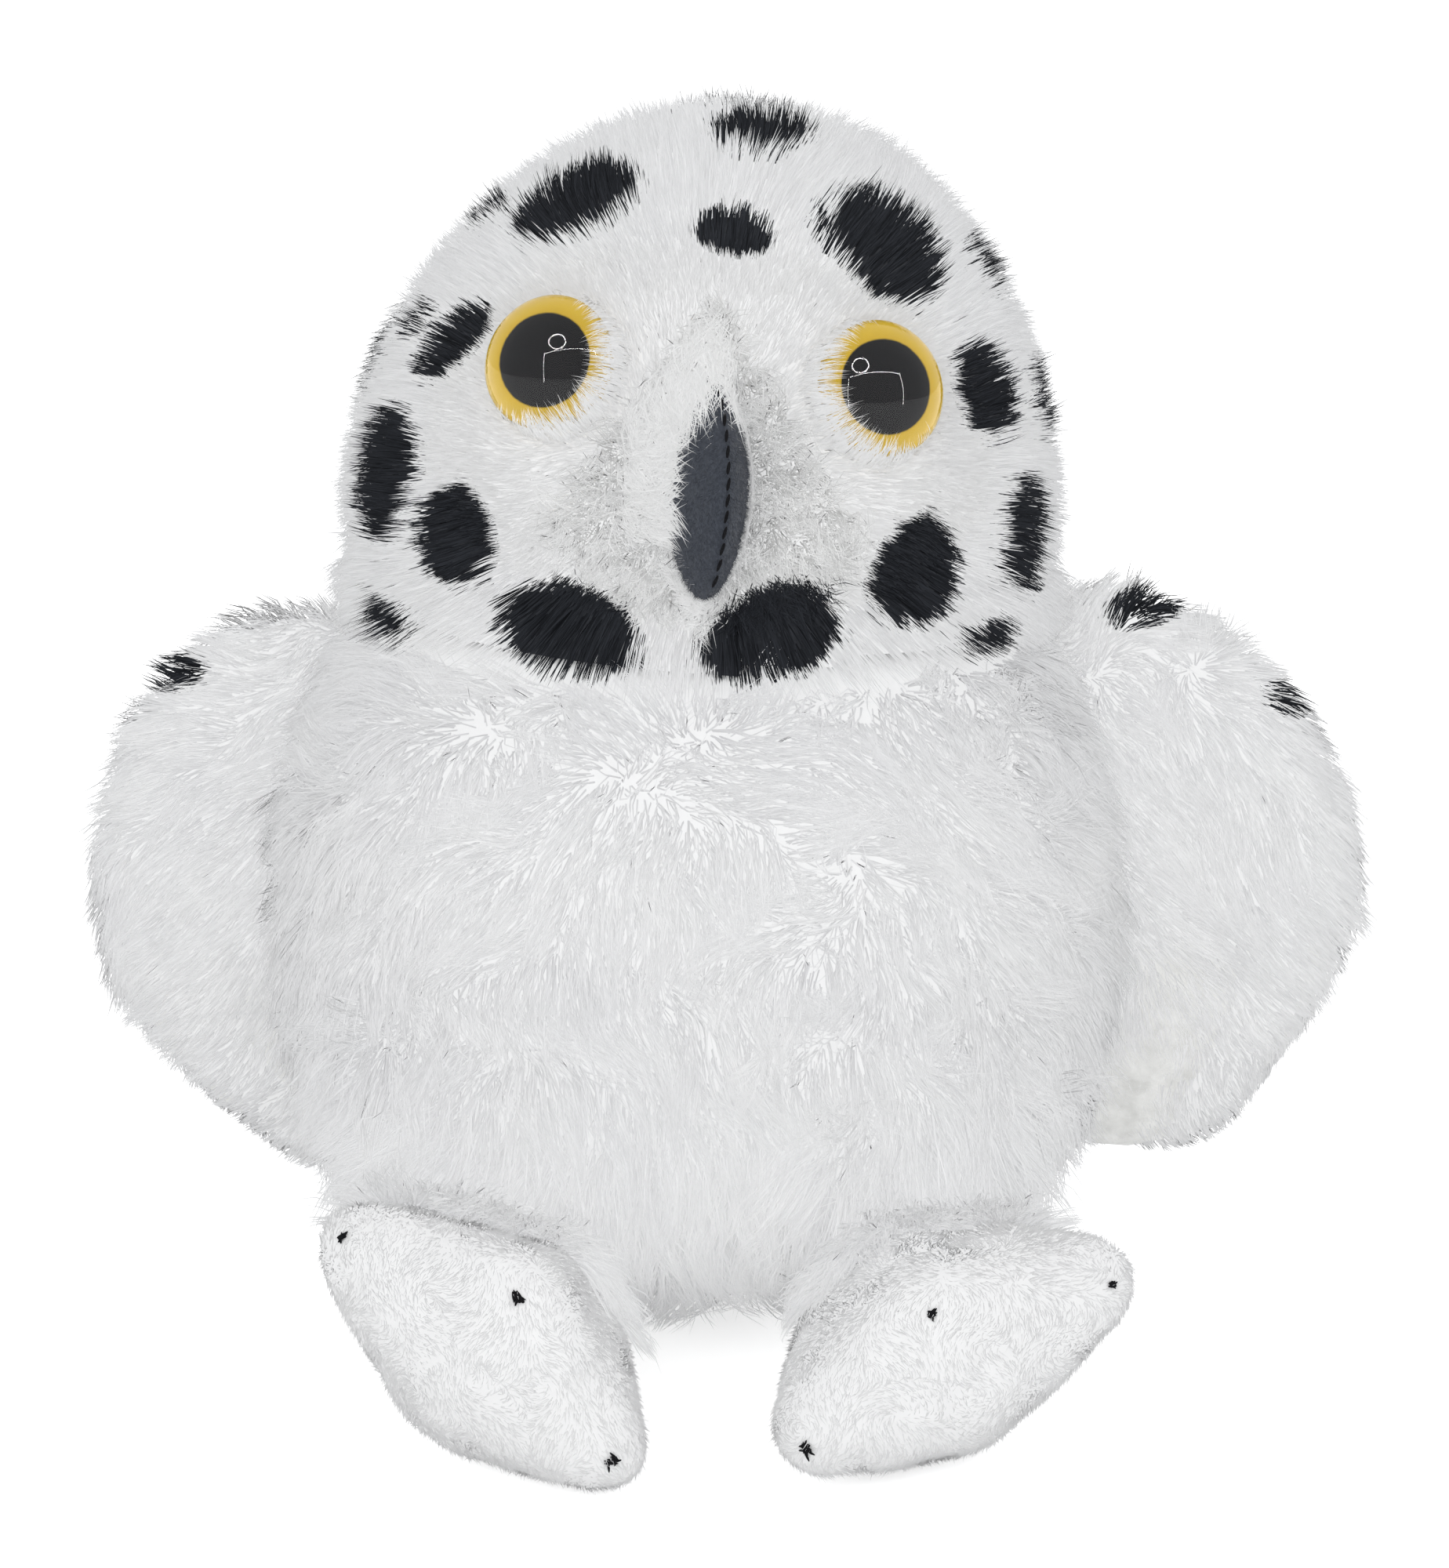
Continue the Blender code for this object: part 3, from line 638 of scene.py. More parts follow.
def hair_map(spots, faces):
    """Where each corner of a hair's faces goes on its own small square of the bake map."""
    corners = []
    for face in faces:
        middle = spots[face].mean(0)
        column = math.floor((math.atan2(middle[1], middle[0]) / math.tau) % 1 * 3) / 3
        for vert in face:
            height = spots[vert][2]
            step = (math.atan2(spots[vert][1], spots[vert][0]) / math.tau - column) % 1
            across = column + min(step, 1 / 3) * 0.8 if height < 0.999 else column + 0.13
            corners.append((0.05 + 0.9 * across, 0.05 + 0.9 * height))
    return np.array(corners)


# %% Fleece: many hairs in one mesh
totals = {"hairs": 0, "triangles": 0}
floor_clearance = 0.0002
ridge_scatter = 0.25


def written_on(mesh, name, values):
    """Writes a value on each vertex, for a material to read."""
    mark = mesh.attributes.new(name, "FLOAT", "POINT")
    mark.data.foreach_set("value", np.asarray(values, np.float32).ravel())


def sewn_on(made, body, nodes=()):
    """Hangs a piece on the empty of its body and hides the nodes that it takes the place of."""
    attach(made, body)
    if nodes:
        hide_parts(*nodes)
    return made


def fleece(name, lines, normals, coat, body, rng, tone=None, dye=None):
    """Bends the template along every line, a ridge outwards. Its shading leans to the cloth's normal."""
    count, points = lines.shape[:2]
    levels = points - 1
    spots, faces = hair_template(levels)
    level_of = np.rint(spots[:, 2] * levels).astype(int)
    taper = np.maximum(1 - spots[:, 2], 1e-6)
    ring_x, ring_y = spots[:, 0] / taper, spots[:, 1] / taper
    tangent = unit(np.gradient(lines, axis=1))
    ridge = normals + ridge_scatter * rng.normal(size=(count, 3))
    across = unit(np.cross(tangent, ridge[:, None, :]))
    upward = np.cross(tangent, across)
    heights = np.arange(points) / levels
    swell = (1 - (1 - coat.tip_share) * heights ** 1.6) * (heights < 1)
    wide = coat.radius * rng.uniform(0.75, 1.25, (count, 1))
    reach = (wide * swell[None, :])[:, level_of]
    verts = lines[:, level_of] + across[:, level_of] * (reach * ring_x)[:, :, None]
    verts += upward[:, level_of] * (reach * ring_y)[:, :, None]
    verts[:, :, 2] = np.maximum(verts[:, :, 2], floor_clearance)
    sideways = across[:, level_of] * ring_x[:, None] + upward[:, level_of] * ring_y[:, None]
    facing = unit(normals[:, None, :] * (1 - coat.roundness) + sideways * coat.roundness)

    per_hair = len(spots)
    face_loops = np.concatenate([np.array(face) for face in faces])
    sizes = np.array([len(face) for face in faces])
    loops = (face_loops[None, :] + (np.arange(count) * per_hair)[:, None]).ravel()
    starts = np.concatenate([[0], np.cumsum(np.tile(sizes, count))[:-1]])
    mesh = bpy.data.meshes.new(name)
    mesh.vertices.add(count * per_hair)
    mesh.vertices.foreach_set("co", verts.astype(np.float32).ravel())
    mesh.loops.add(len(loops))
    mesh.loops.foreach_set("vertex_index", loops.astype(np.int32))
    mesh.polygons.add(len(starts))
    mesh.polygons.foreach_set("loop_start", starts.astype(np.int32))
    mesh.update(calc_edges=True)
    mesh.validate()
    mesh.shade_smooth()
    mesh.normals_split_custom_set_from_vertices(facing.reshape(-1, 3).astype(np.float32))

    tones = rng.random(count) if tone is None else tone.clip(0, 1)
    written_on(mesh, "tone", np.repeat(tones, per_hair))
    written_on(mesh, "along", np.tile(spots[:, 2], count))
    if dye is not None:
        written_on(mesh, "spot", dye[:, level_of])
    cells = math.ceil(math.sqrt(count))
    cell = np.stack([np.arange(count) % cells, np.arange(count) // cells], 1)
    where = (cell[:, None, :] + hair_map(spots, faces)[None, :, :]) / cells
    mesh.uv_layers.new(name="OFBake").uv.foreach_set("vector", where.astype(np.float32).ravel())
    mesh.materials.append(coat.paint)
    made = sewn_on(stand(name, mesh), body)
    made.visible_shadow = made.visible_diffuse = False
    triangles = int((sizes - 2).sum()) * count
    totals["hairs"] += count
    totals["triangles"] += triangles
    print(name, "hairs", count, "triangles", triangles)


most_triangles = 185000


def fleeces(name, lines, normals, coat, body, rng, tone, dye=None):
    """Splits hairs from side to side, so that each piece stays light."""
    count, points = lines.shape[:2]
    parts = math.ceil(count * (6 * points - 9) / most_triangles)
    edges = np.quantile(lines[:, 0, 0], np.arange(1, parts) / parts) if parts > 1 else []
    part = np.searchsorted(edges, lines[:, 0, 0], side="right")
    for number in range(parts):
        chosen = part == number
        fleece(name + "_" + str(number + 1), lines[chosen], normals[chosen], coat, body, rng, tone[chosen],
               None if dye is None else dye[chosen])


# %% Cloth
def cloth(name, bm, paint, body, nodes, wall=0.0006):
    """Turns an open or closed form into a stitched cover with a real thickness."""
    bm.normal_update()
    bmesh.ops.solidify(bm, geom=bm.faces[:], thickness=wall)
    bmesh.ops.recalc_face_normals(bm, faces=bm.faces)
    mesh = mesh_of(name, bm, 40)
    mesh.materials.append(paint)
    made = sewn_on(stand(name, mesh), body, nodes)
    totals["triangles"] += sum(len(face.vertices) - 2 for face in mesh.polygons)
    return made


def kept_faces(bm, keep):
    """Drops the faces whose middles fail a test."""
    middles = np.array([face.calc_center_median()[:] for face in bm.faces])
    drop = [face for face, stays in zip(bm.faces, keep(middles)) if not stays]
    bmesh.ops.delete(bm, geom=drop, context="FACES")
    return bm

# %% [markdown]
# ## Body
# The body has a belly panel, a back panel and a base panel. The belly's pile is the longest: it starts at a
# whorl under the chin and is combed outwards and down, and it hangs over the feet. Its hem is grown later,
# once the feet are there to lie on.

# %% Body cloth
body_pile = 0.0062
base_seam = 0.015
side_seam_back = 0.012


def on_base(points):
    return points[:, 2] < base_seam


def on_back(points):
    return ~on_base(points) & (points[:, 1] > side_seam_back)


def on_belly(points):
    return ~on_base(points) & ~on_back(points)


def body_panel(part, wanted, paint):
    """One panel of the body's cover."""
    return cloth(part + "_cloth", kept_faces(body_form(-body_pile), wanted), paint, "torso",
                 ["body_" + part + "_panel"])


body_panel("belly", on_belly, white_cloth)
back_cloth = body_panel("back", on_back, spotted_cloth)
body_panel("base", on_base, white_cloth)

# %% [markdown]
# ## Spots
# The black spots are dyed through the pile, so a spot's edge is made of single hairs. Each spot is a short
# column across the cloth, and every point of every hair knows how far it is from the nearest one.

# %% Spots: place, half width and half height in mm, and a turn in degrees
body_spots = [
    (-30, 62, 120, 11, 14, 20), (22, 66, 112, 12, 10, -15), (-58, 40, 98, 10, 13, 10),
    (56, 43, 90, 11, 12, -25), (-10, 70, 78, 13, 10, 0), (34, 62, 66, 10, 13, 30),
    (-44, 55, 62, 11, 11, -20), (64, 28, 56, 9, 12, 0), (-66, 24, 52, 9, 11, 15),
    (8, 64, 42, 11, 9, 10), (-36, 52, 32, 10, 10, 0), (46, 46, 34, 10, 10, -10)]
head_spot_depth = 3.0


def spot_value(points, spots, depth=1.0):
    """Under 1 inside a spot: the smallest value of all the spots."""
    best = np.full(len(points), 9.0)
    for *place, across, up, turn_deg in spots:
        centre, across, up = np.array(place) / 1000, across / 1000, up / 1000
        outward = unit(centre - np.array([0, 0, centre[2] * 0.8]))
        right = unit(np.cross([0, 0, 1.0], outward))
        upward = np.cross(outward, right)
        turn = math.radians(turn_deg)
        first = right * math.cos(turn) + upward * math.sin(turn)
        second = upward * math.cos(turn) - right * math.sin(turn)
        offset = points - centre
        value = np.sqrt((offset @ first / across) ** 2 + (offset @ second / up) ** 2
                        + (offset @ outward / (depth * (across + up))) ** 2)
        best = np.minimum(best, value)
    return best


def dye_cloth(made, spots, depth=1.0):
    """Dyes the spots into a cloth too, so that no white shows between black hairs."""
    written_on(made.data, "spot", spot_value(places(made.data.vertices), spots, depth).clip(0, 1.5))


def dye_on(lines, spots, rng, depth=1.0):
    """How far each point of each hair is from a spot's middle, with ragged edges. Under 1 it is dyed."""
    count, points = lines.shape[:2]
    ragged = 0.06 * rng.normal(size=count) + 0.08 * ruffle(lines[:, 0], 0.004, 3)[:, 0]
    value = spot_value(lines.reshape(-1, 3), spots, depth).reshape(count, points) + ragged[:, None]
    return np.clip(value, 0, 1.5)


def dyed(name, lines, normals, coat, body, rng, spots, depth=1.0):
    """White pile with dyed spots, in as many pieces as its hairs need."""
    dye = dye_on(lines, spots, rng, depth)
    fleeces(name, lines, normals, coat, body, rng, patchy(lines[:, 0], rng, 0.25), dye)


# %% Back pile
under_wing_share = 0.6
under_wing_length = 0.0055
back_length = 0.0135


def under_wing(roots):
    """True where a wing rests on the body: the pile there is short, and shows when the wing lifts."""
    return in_wing(roots, "left", -0.004) | in_wing(roots, "right", -0.004)


def body_roots(wanted, coat, rng):
    """Roots on the body's cloth, clear of the head and sparse under the wings, and which a wing lies on."""
    roots, normals = scatter(body_form(-body_pile), coat, rng)
    keep = wanted(roots) & ~in_head(roots, -0.003)
    keep &= ~under_wing(roots) | (rng.random(len(roots)) < under_wing_share)
    return roots[keep], normals[keep], under_wing(roots[keep])


def outward_and_down(roots, down, out):
    """A flow that runs down the sides of a form and outwards from the owl's middle line."""
    return np.stack([out * roots[:, 0] / 0.06, out * roots[:, 1] / 0.06, np.full(len(roots), -down)], 1)


def grow_back(seed=12):
    """Pile of the back, white with dyed spots."""
    rng, coat = np.random.default_rng(seed), coats["back"]
    roots, normals, covered = body_roots(on_back, coat, rng)
    flow = along_skin(outward_and_down(roots, 1.0, 0.3) + 0.35 * ruffle(roots, 0.03, 15), normals)
    lines = comb(roots, normals, flow, rng, np.where(covered, under_wing_length, back_length), coat)
    dyed("back_fur", lines, normals, coat, "torso", rng, body_spots)


dye_cloth(back_cloth, body_spots)
grow_back()

# %% [markdown]
# ## Head
# The cover's pile is combed away from the face, and black spots are dyed into it. The face is a shorter pile,
# and the muzzle round the beak is trimmed and fluffy.

# %% Head panels
head_pile = 0.0055
face_pile = 0.0026
muzzle_pile_depth = 0.0022
face_half = (0.047, 0.031)
face_up_deg = 21
face_edge = (0.72, 0.98)
muzzle_kite = [(0, 0.017), (-0.0125, 0), (-0.025, -0.017), (-0.012, -0.0265), (0, -0.0295),
               (0.012, -0.0265), (0.025, -0.017), (0.0125, 0)]
face_frame = head_frame @ Matrix.Rotation(math.radians(90 - face_up_deg), 4, "X")


def face_places(points):
    """Points as seen from in front of the face: across, up and towards the viewer."""
    return placed(face_frame.inverted(), points)


def face_value(points):
    """Under 1 inside the face panel's oval."""
    q = face_places(points)
    value = np.sqrt((q[:, 0] / face_half[0]) ** 2 + (q[:, 1] / face_half[1]) ** 2)
    return np.where(q[:, 2] > 0, value, 9)


def in_kite(points, extra=0.0):
    """True inside the muzzle panel's outline."""
    q = face_places(points)
    inside = q[:, 2] > 0
    for (ax, ay), (bx, by) in zip(muzzle_kite, muzzle_kite[1:] + muzzle_kite[:1]):
        side = ((bx - ax) * (q[:, 1] - ay) - (by - ay) * (q[:, 0] - ax)) / math.hypot(bx - ax, by - ay)
        inside &= side > -extra
    return inside


def face_form(depth, rounds=120, rings=80):
    """The head form under the short pile, sunk to the cover's depth at the face panel's edge."""
    bm, deep = head_form(-depth, rounds, rings), head_form(-head_pile, rounds, rings)
    shares = np.clip((face_value(places(bm.verts)) - face_edge[0]) / (face_edge[1] - face_edge[0]), 0, 1)
    for vert, low, share in zip(bm.verts, deep.verts, shares):
        vert.co = vert.co.lerp(low.co, share)
    deep.free()
    return bm


# %% Head spots
head_spots = [
    (13, -16.5, 222.6, 10, 7.5, -8), (-21.5, -27.5, 211, 12.2, 9.2, 32), (7.6, -42.5, 207.9, 7, 4.4, -20),
    (36, -34.2, 205, 10.6, 11.8, 22), (-44.2, -33.6, 188, 9.4, 4.6, 52), (-49.6, -20.2, 188.3, 2.8, 5, -20),
    (-56, -30, 163.4, 10, 11.8, 0), (-43.2, -47.4, 155.8, 8.2, 8.6, -20),
    (-52.2, -34.4, 134.5, 7.8, 5.6, -25), (-22, -58.6, 140.8, 12.8, 8, -8),
    (14.2, -60.5, 140.2, 12.6, 7.6, 12), (40.1, -50.8, 149.6, 9.4, 8.8, 12),
    (60.2, -30, 152, 7.8, 10, -5), (54, -33.6, 179, 7.2, 9, 25), (53, -11, 196.8, 5.6, 6.6, 15),
    (63, -11.2, 173, 6, 8, 0), (50.3, -39.9, 134.1, 8.5, 3.2, 10), (-37, -8, 206.4, 5.8, 4, 40),
    (23.2, -38.5, 207.8, 1.1, 5.2, 5), (-61, 4, 180, 11, 10, 15), (62, 16, 156, 10, 12, -10),
    (-56, 24, 150, 12, 10, 0), (-34, 30, 198, 11, 12, 20), (8, 12, 222, 12, 10, 0),
    (38, 26, 198, 11, 11, -20), (2, 48, 186, 13, 11, 10), (-34, 45, 164, 11, 11, -15),
    (38, 43, 166, 12, 10, 15), (2, 56, 150, 11, 10, 0), (-23, 53, 138, 10, 8, 10), (30, 50, 136, 10, 8, -10)]

# %% [markdown]
# ## Eyes
# A safety eye is a clear dome over a painted back, whose stem goes through the face into a lock washer. The
# yellow iris and the black pupil lie under the dome, so the dome's clear plastic bends them and carries the
# lamps' small highlights. The eyes' places come first, because the pile keeps clear of them.

# %% Eye places
eye_radius = 0.0116
eye_spread = 0.0285
eye_height = 0.0285


def eye_frame(side):
    """Where an eye sits on the head, with its local Z along the outward normal."""
    across = eye_spread * side
    left_over = 1 - abs(across / head_half.x) ** head_fullness
    left_over -= abs(eye_height / head_half.z) ** head_fullness
    spot = Vector((across, -head_half.y * left_over ** (1 / head_fullness), eye_height))
    normal = Vector((spot.x / head_half.x ** 2, spot.y / head_half.y ** 2, spot.z / head_half.z ** 2))
    return head_frame @ Matrix.Translation(spot) @ normal.to_track_quat("Z", "Y").to_matrix().to_4x4()


def eye_value(points, side):
    """Under 1 inside an eye's rim, seen along the eye's own axis."""
    q = placed(eye_frame(side).inverted(), points)
    return np.where(np.abs(q[:, 2]) < 0.02, np.hypot(q[:, 0], q[:, 1]) / eye_radius, 9)


def clear_of_eyes(points, least):
    """True outside both eyes' rims, or outside a share of them."""
    return (eye_value(points, 1) > least) & (eye_value(points, -1) > least)


# %% Head cloth
stem_hole = 0.5


def on_face(points):
    return (face_value(points) < 1) & ~in_kite(points) & clear_of_eyes(points, stem_hole)


def on_cover(points):
    return (face_value(points) >= 1) & ~in_kite(points)


for name, depth, wanted, slot_name, node_name in (
        ("head_cloth", head_pile, on_cover, "spotted_fur", "head_cover"),
        ("muzzle_cloth", muzzle_pile_depth, in_kite, "trimmed_muzzle_fur", "muzzle_panel"),
        ("face_cloth", face_pile, on_face, "short_white_plush", "face_panel")):
    bm = kept_faces(face_form(depth, 128, 88), lambda points: wanted(points) & ~in_body(points, -0.004))
    dye_cloth(cloth(name, bm, spotted_cloth, "torso", [node_name]), head_spots, head_spot_depth)

# %% Head pile
back_share = 0.6
face_length = 0.0034
muzzle_length = 0.0078
face_middle = np.array([0.0017, -0.055, 0.168])


def grow_head(seed=21):
    """Spotted pile of the head, combed away from the face and down the back."""
    rng, coat = np.random.default_rng(seed), coats["head"]
    roots, normals = scatter(head_form(-head_pile), coat, rng)
    keep = (face_value(roots) > 0.97) & ~in_kite(roots, -0.001) & ~in_body(roots, -0.002)
    keep &= (roots[:, 1] < 0.008) | (rng.random(len(roots)) < back_share)
    roots, normals = roots[keep], normals[keep]
    behind = np.clip((roots[:, 1] + 0.01) / 0.04, 0, 1)[:, None]
    flow = unit(roots - face_middle) * (1 - behind) + np.array([0, 0, -1.0]) * behind
    flow = along_skin(flow + 0.22 * ruffle(roots, 0.025, 25), normals)
    by_face = np.exp(-np.maximum(face_value(roots) - 1, 0) / 0.12)
    by_neck = in_body(roots, 0.006)
    length = 0.0094 - 0.0020 * by_face + 0.0030 * by_neck
    lines = comb(roots, normals, flow, rng, length, coat, (18 * by_neck, 6 * by_neck))
    dyed("head_fur", lines, normals, coat, "torso", rng, head_spots, head_spot_depth)


def grow_face(seed=22):
    """Short pile of the face, combed outwards so that it laps the inner rim of each eye."""
    rng, coat = np.random.default_rng(seed), coats["face"]
    roots, normals = scatter(face_form(face_pile), coat, rng)
    keep = (face_value(roots) < 1.02) & ~in_kite(roots, -0.0005) & ~in_body(roots, -0.002)
    keep &= clear_of_eyes(roots, 1.0)
    roots, normals = roots[keep], normals[keep]
    flow = along_skin(unit(roots - face_middle) + 0.3 * ruffle(roots, 0.02, 26), normals)
    lines = comb(roots, normals, flow, rng, face_length, coat)
    fleece("face_fur", lines, normals, coat, "torso", rng,
           dye=dye_on(lines, head_spots, rng, head_spot_depth))


def painted_tuft_shade(roots, rng):
    """A tone that changes from tuft to tuft, as painted shade between the tufts, and a little from hair to
    hair at random.
    """
    return (0.55 + 0.40 * ruffle(roots, 0.0058, 27)[:, 0] + 0.15 * rng.normal(size=len(roots))).clip(0, 1)


def grow_muzzle(seed=23):
    """Fluffy trimmed pile round the beak: it stands up and curls every way."""
    rng, coat = np.random.default_rng(seed), coats["muzzle"]
    roots, normals = scatter(face_form(muzzle_pile_depth), coat, rng)
    keep = in_kite(roots, 0.0012) & ~in_body(roots, -0.002) & clear_of_eyes(roots, 1.06)
    roots, normals = roots[keep], normals[keep]
    flow = along_skin(unit(roots - face_middle) + 1.0 * ruffle(roots, 0.006, 28), normals)
    lines = comb(roots, normals, flow, rng, muzzle_length, coat)
    # The tuft tones are painted shade between the tufts.
    fleece("muzzle_fur", lines, normals, coat, "torso", rng, painted_tuft_shade(roots, rng),
           dye_on(lines, head_spots, rng, head_spot_depth))


def grow_rims(seed=24):
    """Face pile that laps each eye on its side towards the beak."""
    rng, coat = np.random.default_rng(seed), coats["rim"]
    roots, normals = scatter(face_form(face_pile), coat, rng)
    for side_name, side in sides.items():
        inward = unit(np.array(eye_frame(side).translation) - roots)
        turned = -(along_skin(inward, normals) @ np.array([-side * 0.85, 0, -0.53]))
        value = eye_value(roots, side)
        reach = 1.0 + 0.24 * np.clip(turned + 0.30, 0, 1) * rng.random(len(value)) ** 0.5
        keep = (value > 1.0) & (value < reach) & (roots[:, 1] < 0)
        at, out = roots[keep], normals[keep]
        flow = along_skin(inward[keep] + 0.3 * ruffle(at, 0.01, 29), out)
        length = 0.0052 + 0.0030 * np.clip(turned[keep], 0, 1)
        lines = comb(at, out, flow, rng, length, coat)
        fleece("rim_fur_" + side_name, lines, out, coat, "torso", rng)


grow_head()
grow_face()
grow_muzzle()
grow_rims()

# %% Eye pieces
eye_recess = 0.0028
eye_back_thickness = 0.0016
eye_lap = 0.0002
lens_dome = 0.0078
lens_rim = 0.0008
dome_rings = 24
stem_radius = 0.0025
stem_end = -0.0093
gap = 0.0003
pupil_share = 0.62
pupil_edge = 0.012


def spun(name, profile, matrix, paint, node_name, steps=64):
    """A round piece spun from a profile of (radius, height) and set in its place."""
    bm = bmesh.new()
    verts = [bm.verts.new((radius, 0, height)) for radius, height in profile]
    edges = [bm.edges.new(pair) for pair in zip(verts, verts[1:])]
    bmesh.ops.spin(bm, geom=verts + edges, cent=(0, 0, 0), axis=(0, 0, 1), angle=math.tau, steps=steps,
                   use_merge=True)
    bmesh.ops.remove_doubles(bm, verts=bm.verts, dist=1e-6)
    bmesh.ops.recalc_face_normals(bm, faces=bm.faces)
    bmesh.ops.transform(bm, matrix=matrix, verts=bm.verts)
    mesh = mesh_of(name, bm, 40)
    mesh.materials.append(paint)
    return sewn_on(stand(name, mesh), "torso", [node_name])


def iris_paint(name, side):
    """Rings painted on the eye's back: a black pupil and a yellow iris with a darker edge."""
    paint, tree, shader = new_paint(name, 0.6, 0.0, 0.05)
    turn = node(tree, "Mapping")
    turn.vector_type = "TEXTURE"
    set_on(turn, Location=eye_frame(side).translation, Rotation=eye_frame(side).to_euler())
    tree.links.new(node(tree, "TexCoord").outputs["Object"], turn.inputs["Vector"])
    apart = node(tree, "SeparateXYZ")
    tree.links.new(turn.outputs["Vector"], apart.inputs["Vector"])
    flat = node(tree, "CombineXYZ")
    tree.links.new(apart.outputs["X"], flat.inputs["X"])
    tree.links.new(apart.outputs["Y"], flat.inputs["Y"])
    reach = node(tree, "VectorMath")
    reach.operation = "LENGTH"
    tree.links.new(flat.outputs["Vector"], reach.inputs[0])
    share = maths(tree, "DIVIDE", reach.outputs["Value"], eye_radius)
    wander = maths(tree, "MULTIPLY_ADD", grain(tree, 900, 4.0), 0.02, share)
    rings = ramped(tree, wander, (0.004, 0.004, 0.005), (0.50, 0.33, 0.024), pupil_share - pupil_edge,
                   pupil_share + pupil_edge)
    rings.color_ramp.elements.new(0.90).color = (0.64, 0.44, 0.045, 1)
    rings.color_ramp.elements.new(0.99).color = (0.50, 0.33, 0.03, 1)
    tree.links.new(rings.outputs["Color"], shader.inputs["Base Color"])
    return paint


clear_paint, clear_tree, clear_shader = new_paint("clear_dome", 0.01, 0.0, 0.5)
set_on(clear_shader, Base_Color=white, Transmission_Weight=1.0, IOR=1.37)
haze = ramped(clear_tree, grain(clear_tree, 90), grey(0.004), grey(0.014), 0.35, 0.7)
clear_tree.links.new(haze.outputs["Color"], clear_shader.inputs["Roughness"])

for side_name, side in sides.items():
    seat, top = gap - eye_recess, eye_back_thickness - eye_recess
    painted_radius = eye_radius - eye_lap
    spun("eye_back_piece_" + side_name,
         [(0, stem_end), (stem_radius, stem_end), (stem_radius, seat), (painted_radius, seat),
          (painted_radius, top), (0, top)], eye_frame(side), iris_paint("iris_" + side_name, side),
         "eye_back_" + side_name)
    low = top - eye_lap
    dome_profile = [(0, low), (painted_radius, low), (eye_radius, low + eye_lap)]
    dome_profile.append((eye_radius, low + lens_rim))
    cap = lens_dome - lens_rim
    ball_radius = (eye_radius ** 2 + cap ** 2) / (2 * cap)
    for ring in range(1, dome_rings + 1):
        across = eye_radius * math.cos(math.pi / 2 * ring / dome_rings) if ring < dome_rings else 0
        rise = math.sqrt(ball_radius ** 2 - across ** 2)
        dome_profile.append((across, low + lens_dome - ball_radius + rise))
    spun("eye_dome_" + side_name, dome_profile, eye_frame(side), clear_paint,
         "eye_lens_" + side_name, 96).visible_shadow = False

# %% [markdown]
# ## Beak
# Two panels of felt meet on a ridge and are whipped together with dark thread. The felt has a short fuzz, and
# the muzzle's fluff laps the beak's upper edge.

# %% Beak form
beak_half_width = 0.0068
beak_half_length = 0.0190
beak_reach = 0.0135
beak_height = 0.0115
beak_tip_deg = 12
beak_turn_deg = 14
beak_edge_share = 1.35
beak_length_share = 1.8
beak_tip_share = 0.55
beak_top_share = 0.72
beak_felt = 0.0012
fuzz_length = 0.0009
beak_place = (head_frame @ Matrix.Translation((0, -head_half.y, beak_height))
              @ Matrix.Rotation(math.radians(beak_turn_deg), 4, "Z")
              @ Matrix.Rotation(math.radians(-beak_tip_deg), 4, "X"))


def beak_width(height):
    """The beak's share of its full width at a height from -1 to 1: round at its tip, pointed at its top."""
    fullness = beak_tip_share if height < 0 else beak_top_share
    return max(1 - abs(height) ** beak_length_share, 0) ** fullness


def beak_form():
    """An almond with a ridge down its front, in its place on the muzzle."""
    bm = ball(72, 64)
    for vert in bm.verts:
        height = math.atan2(vert.co.z, math.hypot(vert.co.x, vert.co.y)) / (math.pi / 2)
        turn = math.atan2(vert.co.y, vert.co.x)
        across, deep = math.cos(turn), math.sin(turn)
        reach = (abs(across) ** beak_edge_share + abs(deep) ** beak_edge_share) ** (-1 / beak_edge_share)
        reach *= beak_width(height)
        vert.co = (across * reach * beak_half_width, deep * reach * beak_reach, height * beak_half_length)
    bmesh.ops.transform(bm, matrix=beak_place, verts=bm.verts)
    return bm


def beak_local(points):
    """Points in the beak's own axes."""
    return placed(beak_place.inverted(), points)


for side_name, side in sides.items():
    bm = kept_faces(beak_form(), lambda points: (beak_local(points)[:, 0] * side > 0)
                    & ~in_head(points, -0.002))
    cloth("beak_felt_" + side_name, bm, slate_felt, "torso", ["beak_" + side_name + "_panel"],
          beak_felt)

# %% Stitches
stitch_pitch = 0.0026
stitch_half = 0.0008
stitch_radius = 0.00030
stitch_rise = 0.0003
stitch_aside = 0.00015
stitched_share = 0.84


def thread_run(bm, start, end, outward, radius, bow):
    """One stitch: a thread that dives into the cloth at both ends."""
    along = end - start
    made = bmesh.ops.create_uvsphere(bm, u_segments=10, v_segments=10, radius=1)
    turn = along.to_track_quat("Z", "Y").to_matrix().to_4x4()
    bmesh.ops.scale(bm, verts=made["verts"], vec=(radius, radius, along.length / 2 + radius))
    middle = Matrix.Translation((start + end) / 2 + outward * bow)
    bmesh.ops.transform(bm, matrix=middle @ turn, verts=made["verts"])


def stitched(name, bm, body, nodes=()):
    """Makes one piece of black thread from its stitches."""
    mesh = mesh_of(name, bm)
    mesh.materials.append(black_thread)
    sewn_on(stand(name, mesh), body, nodes)


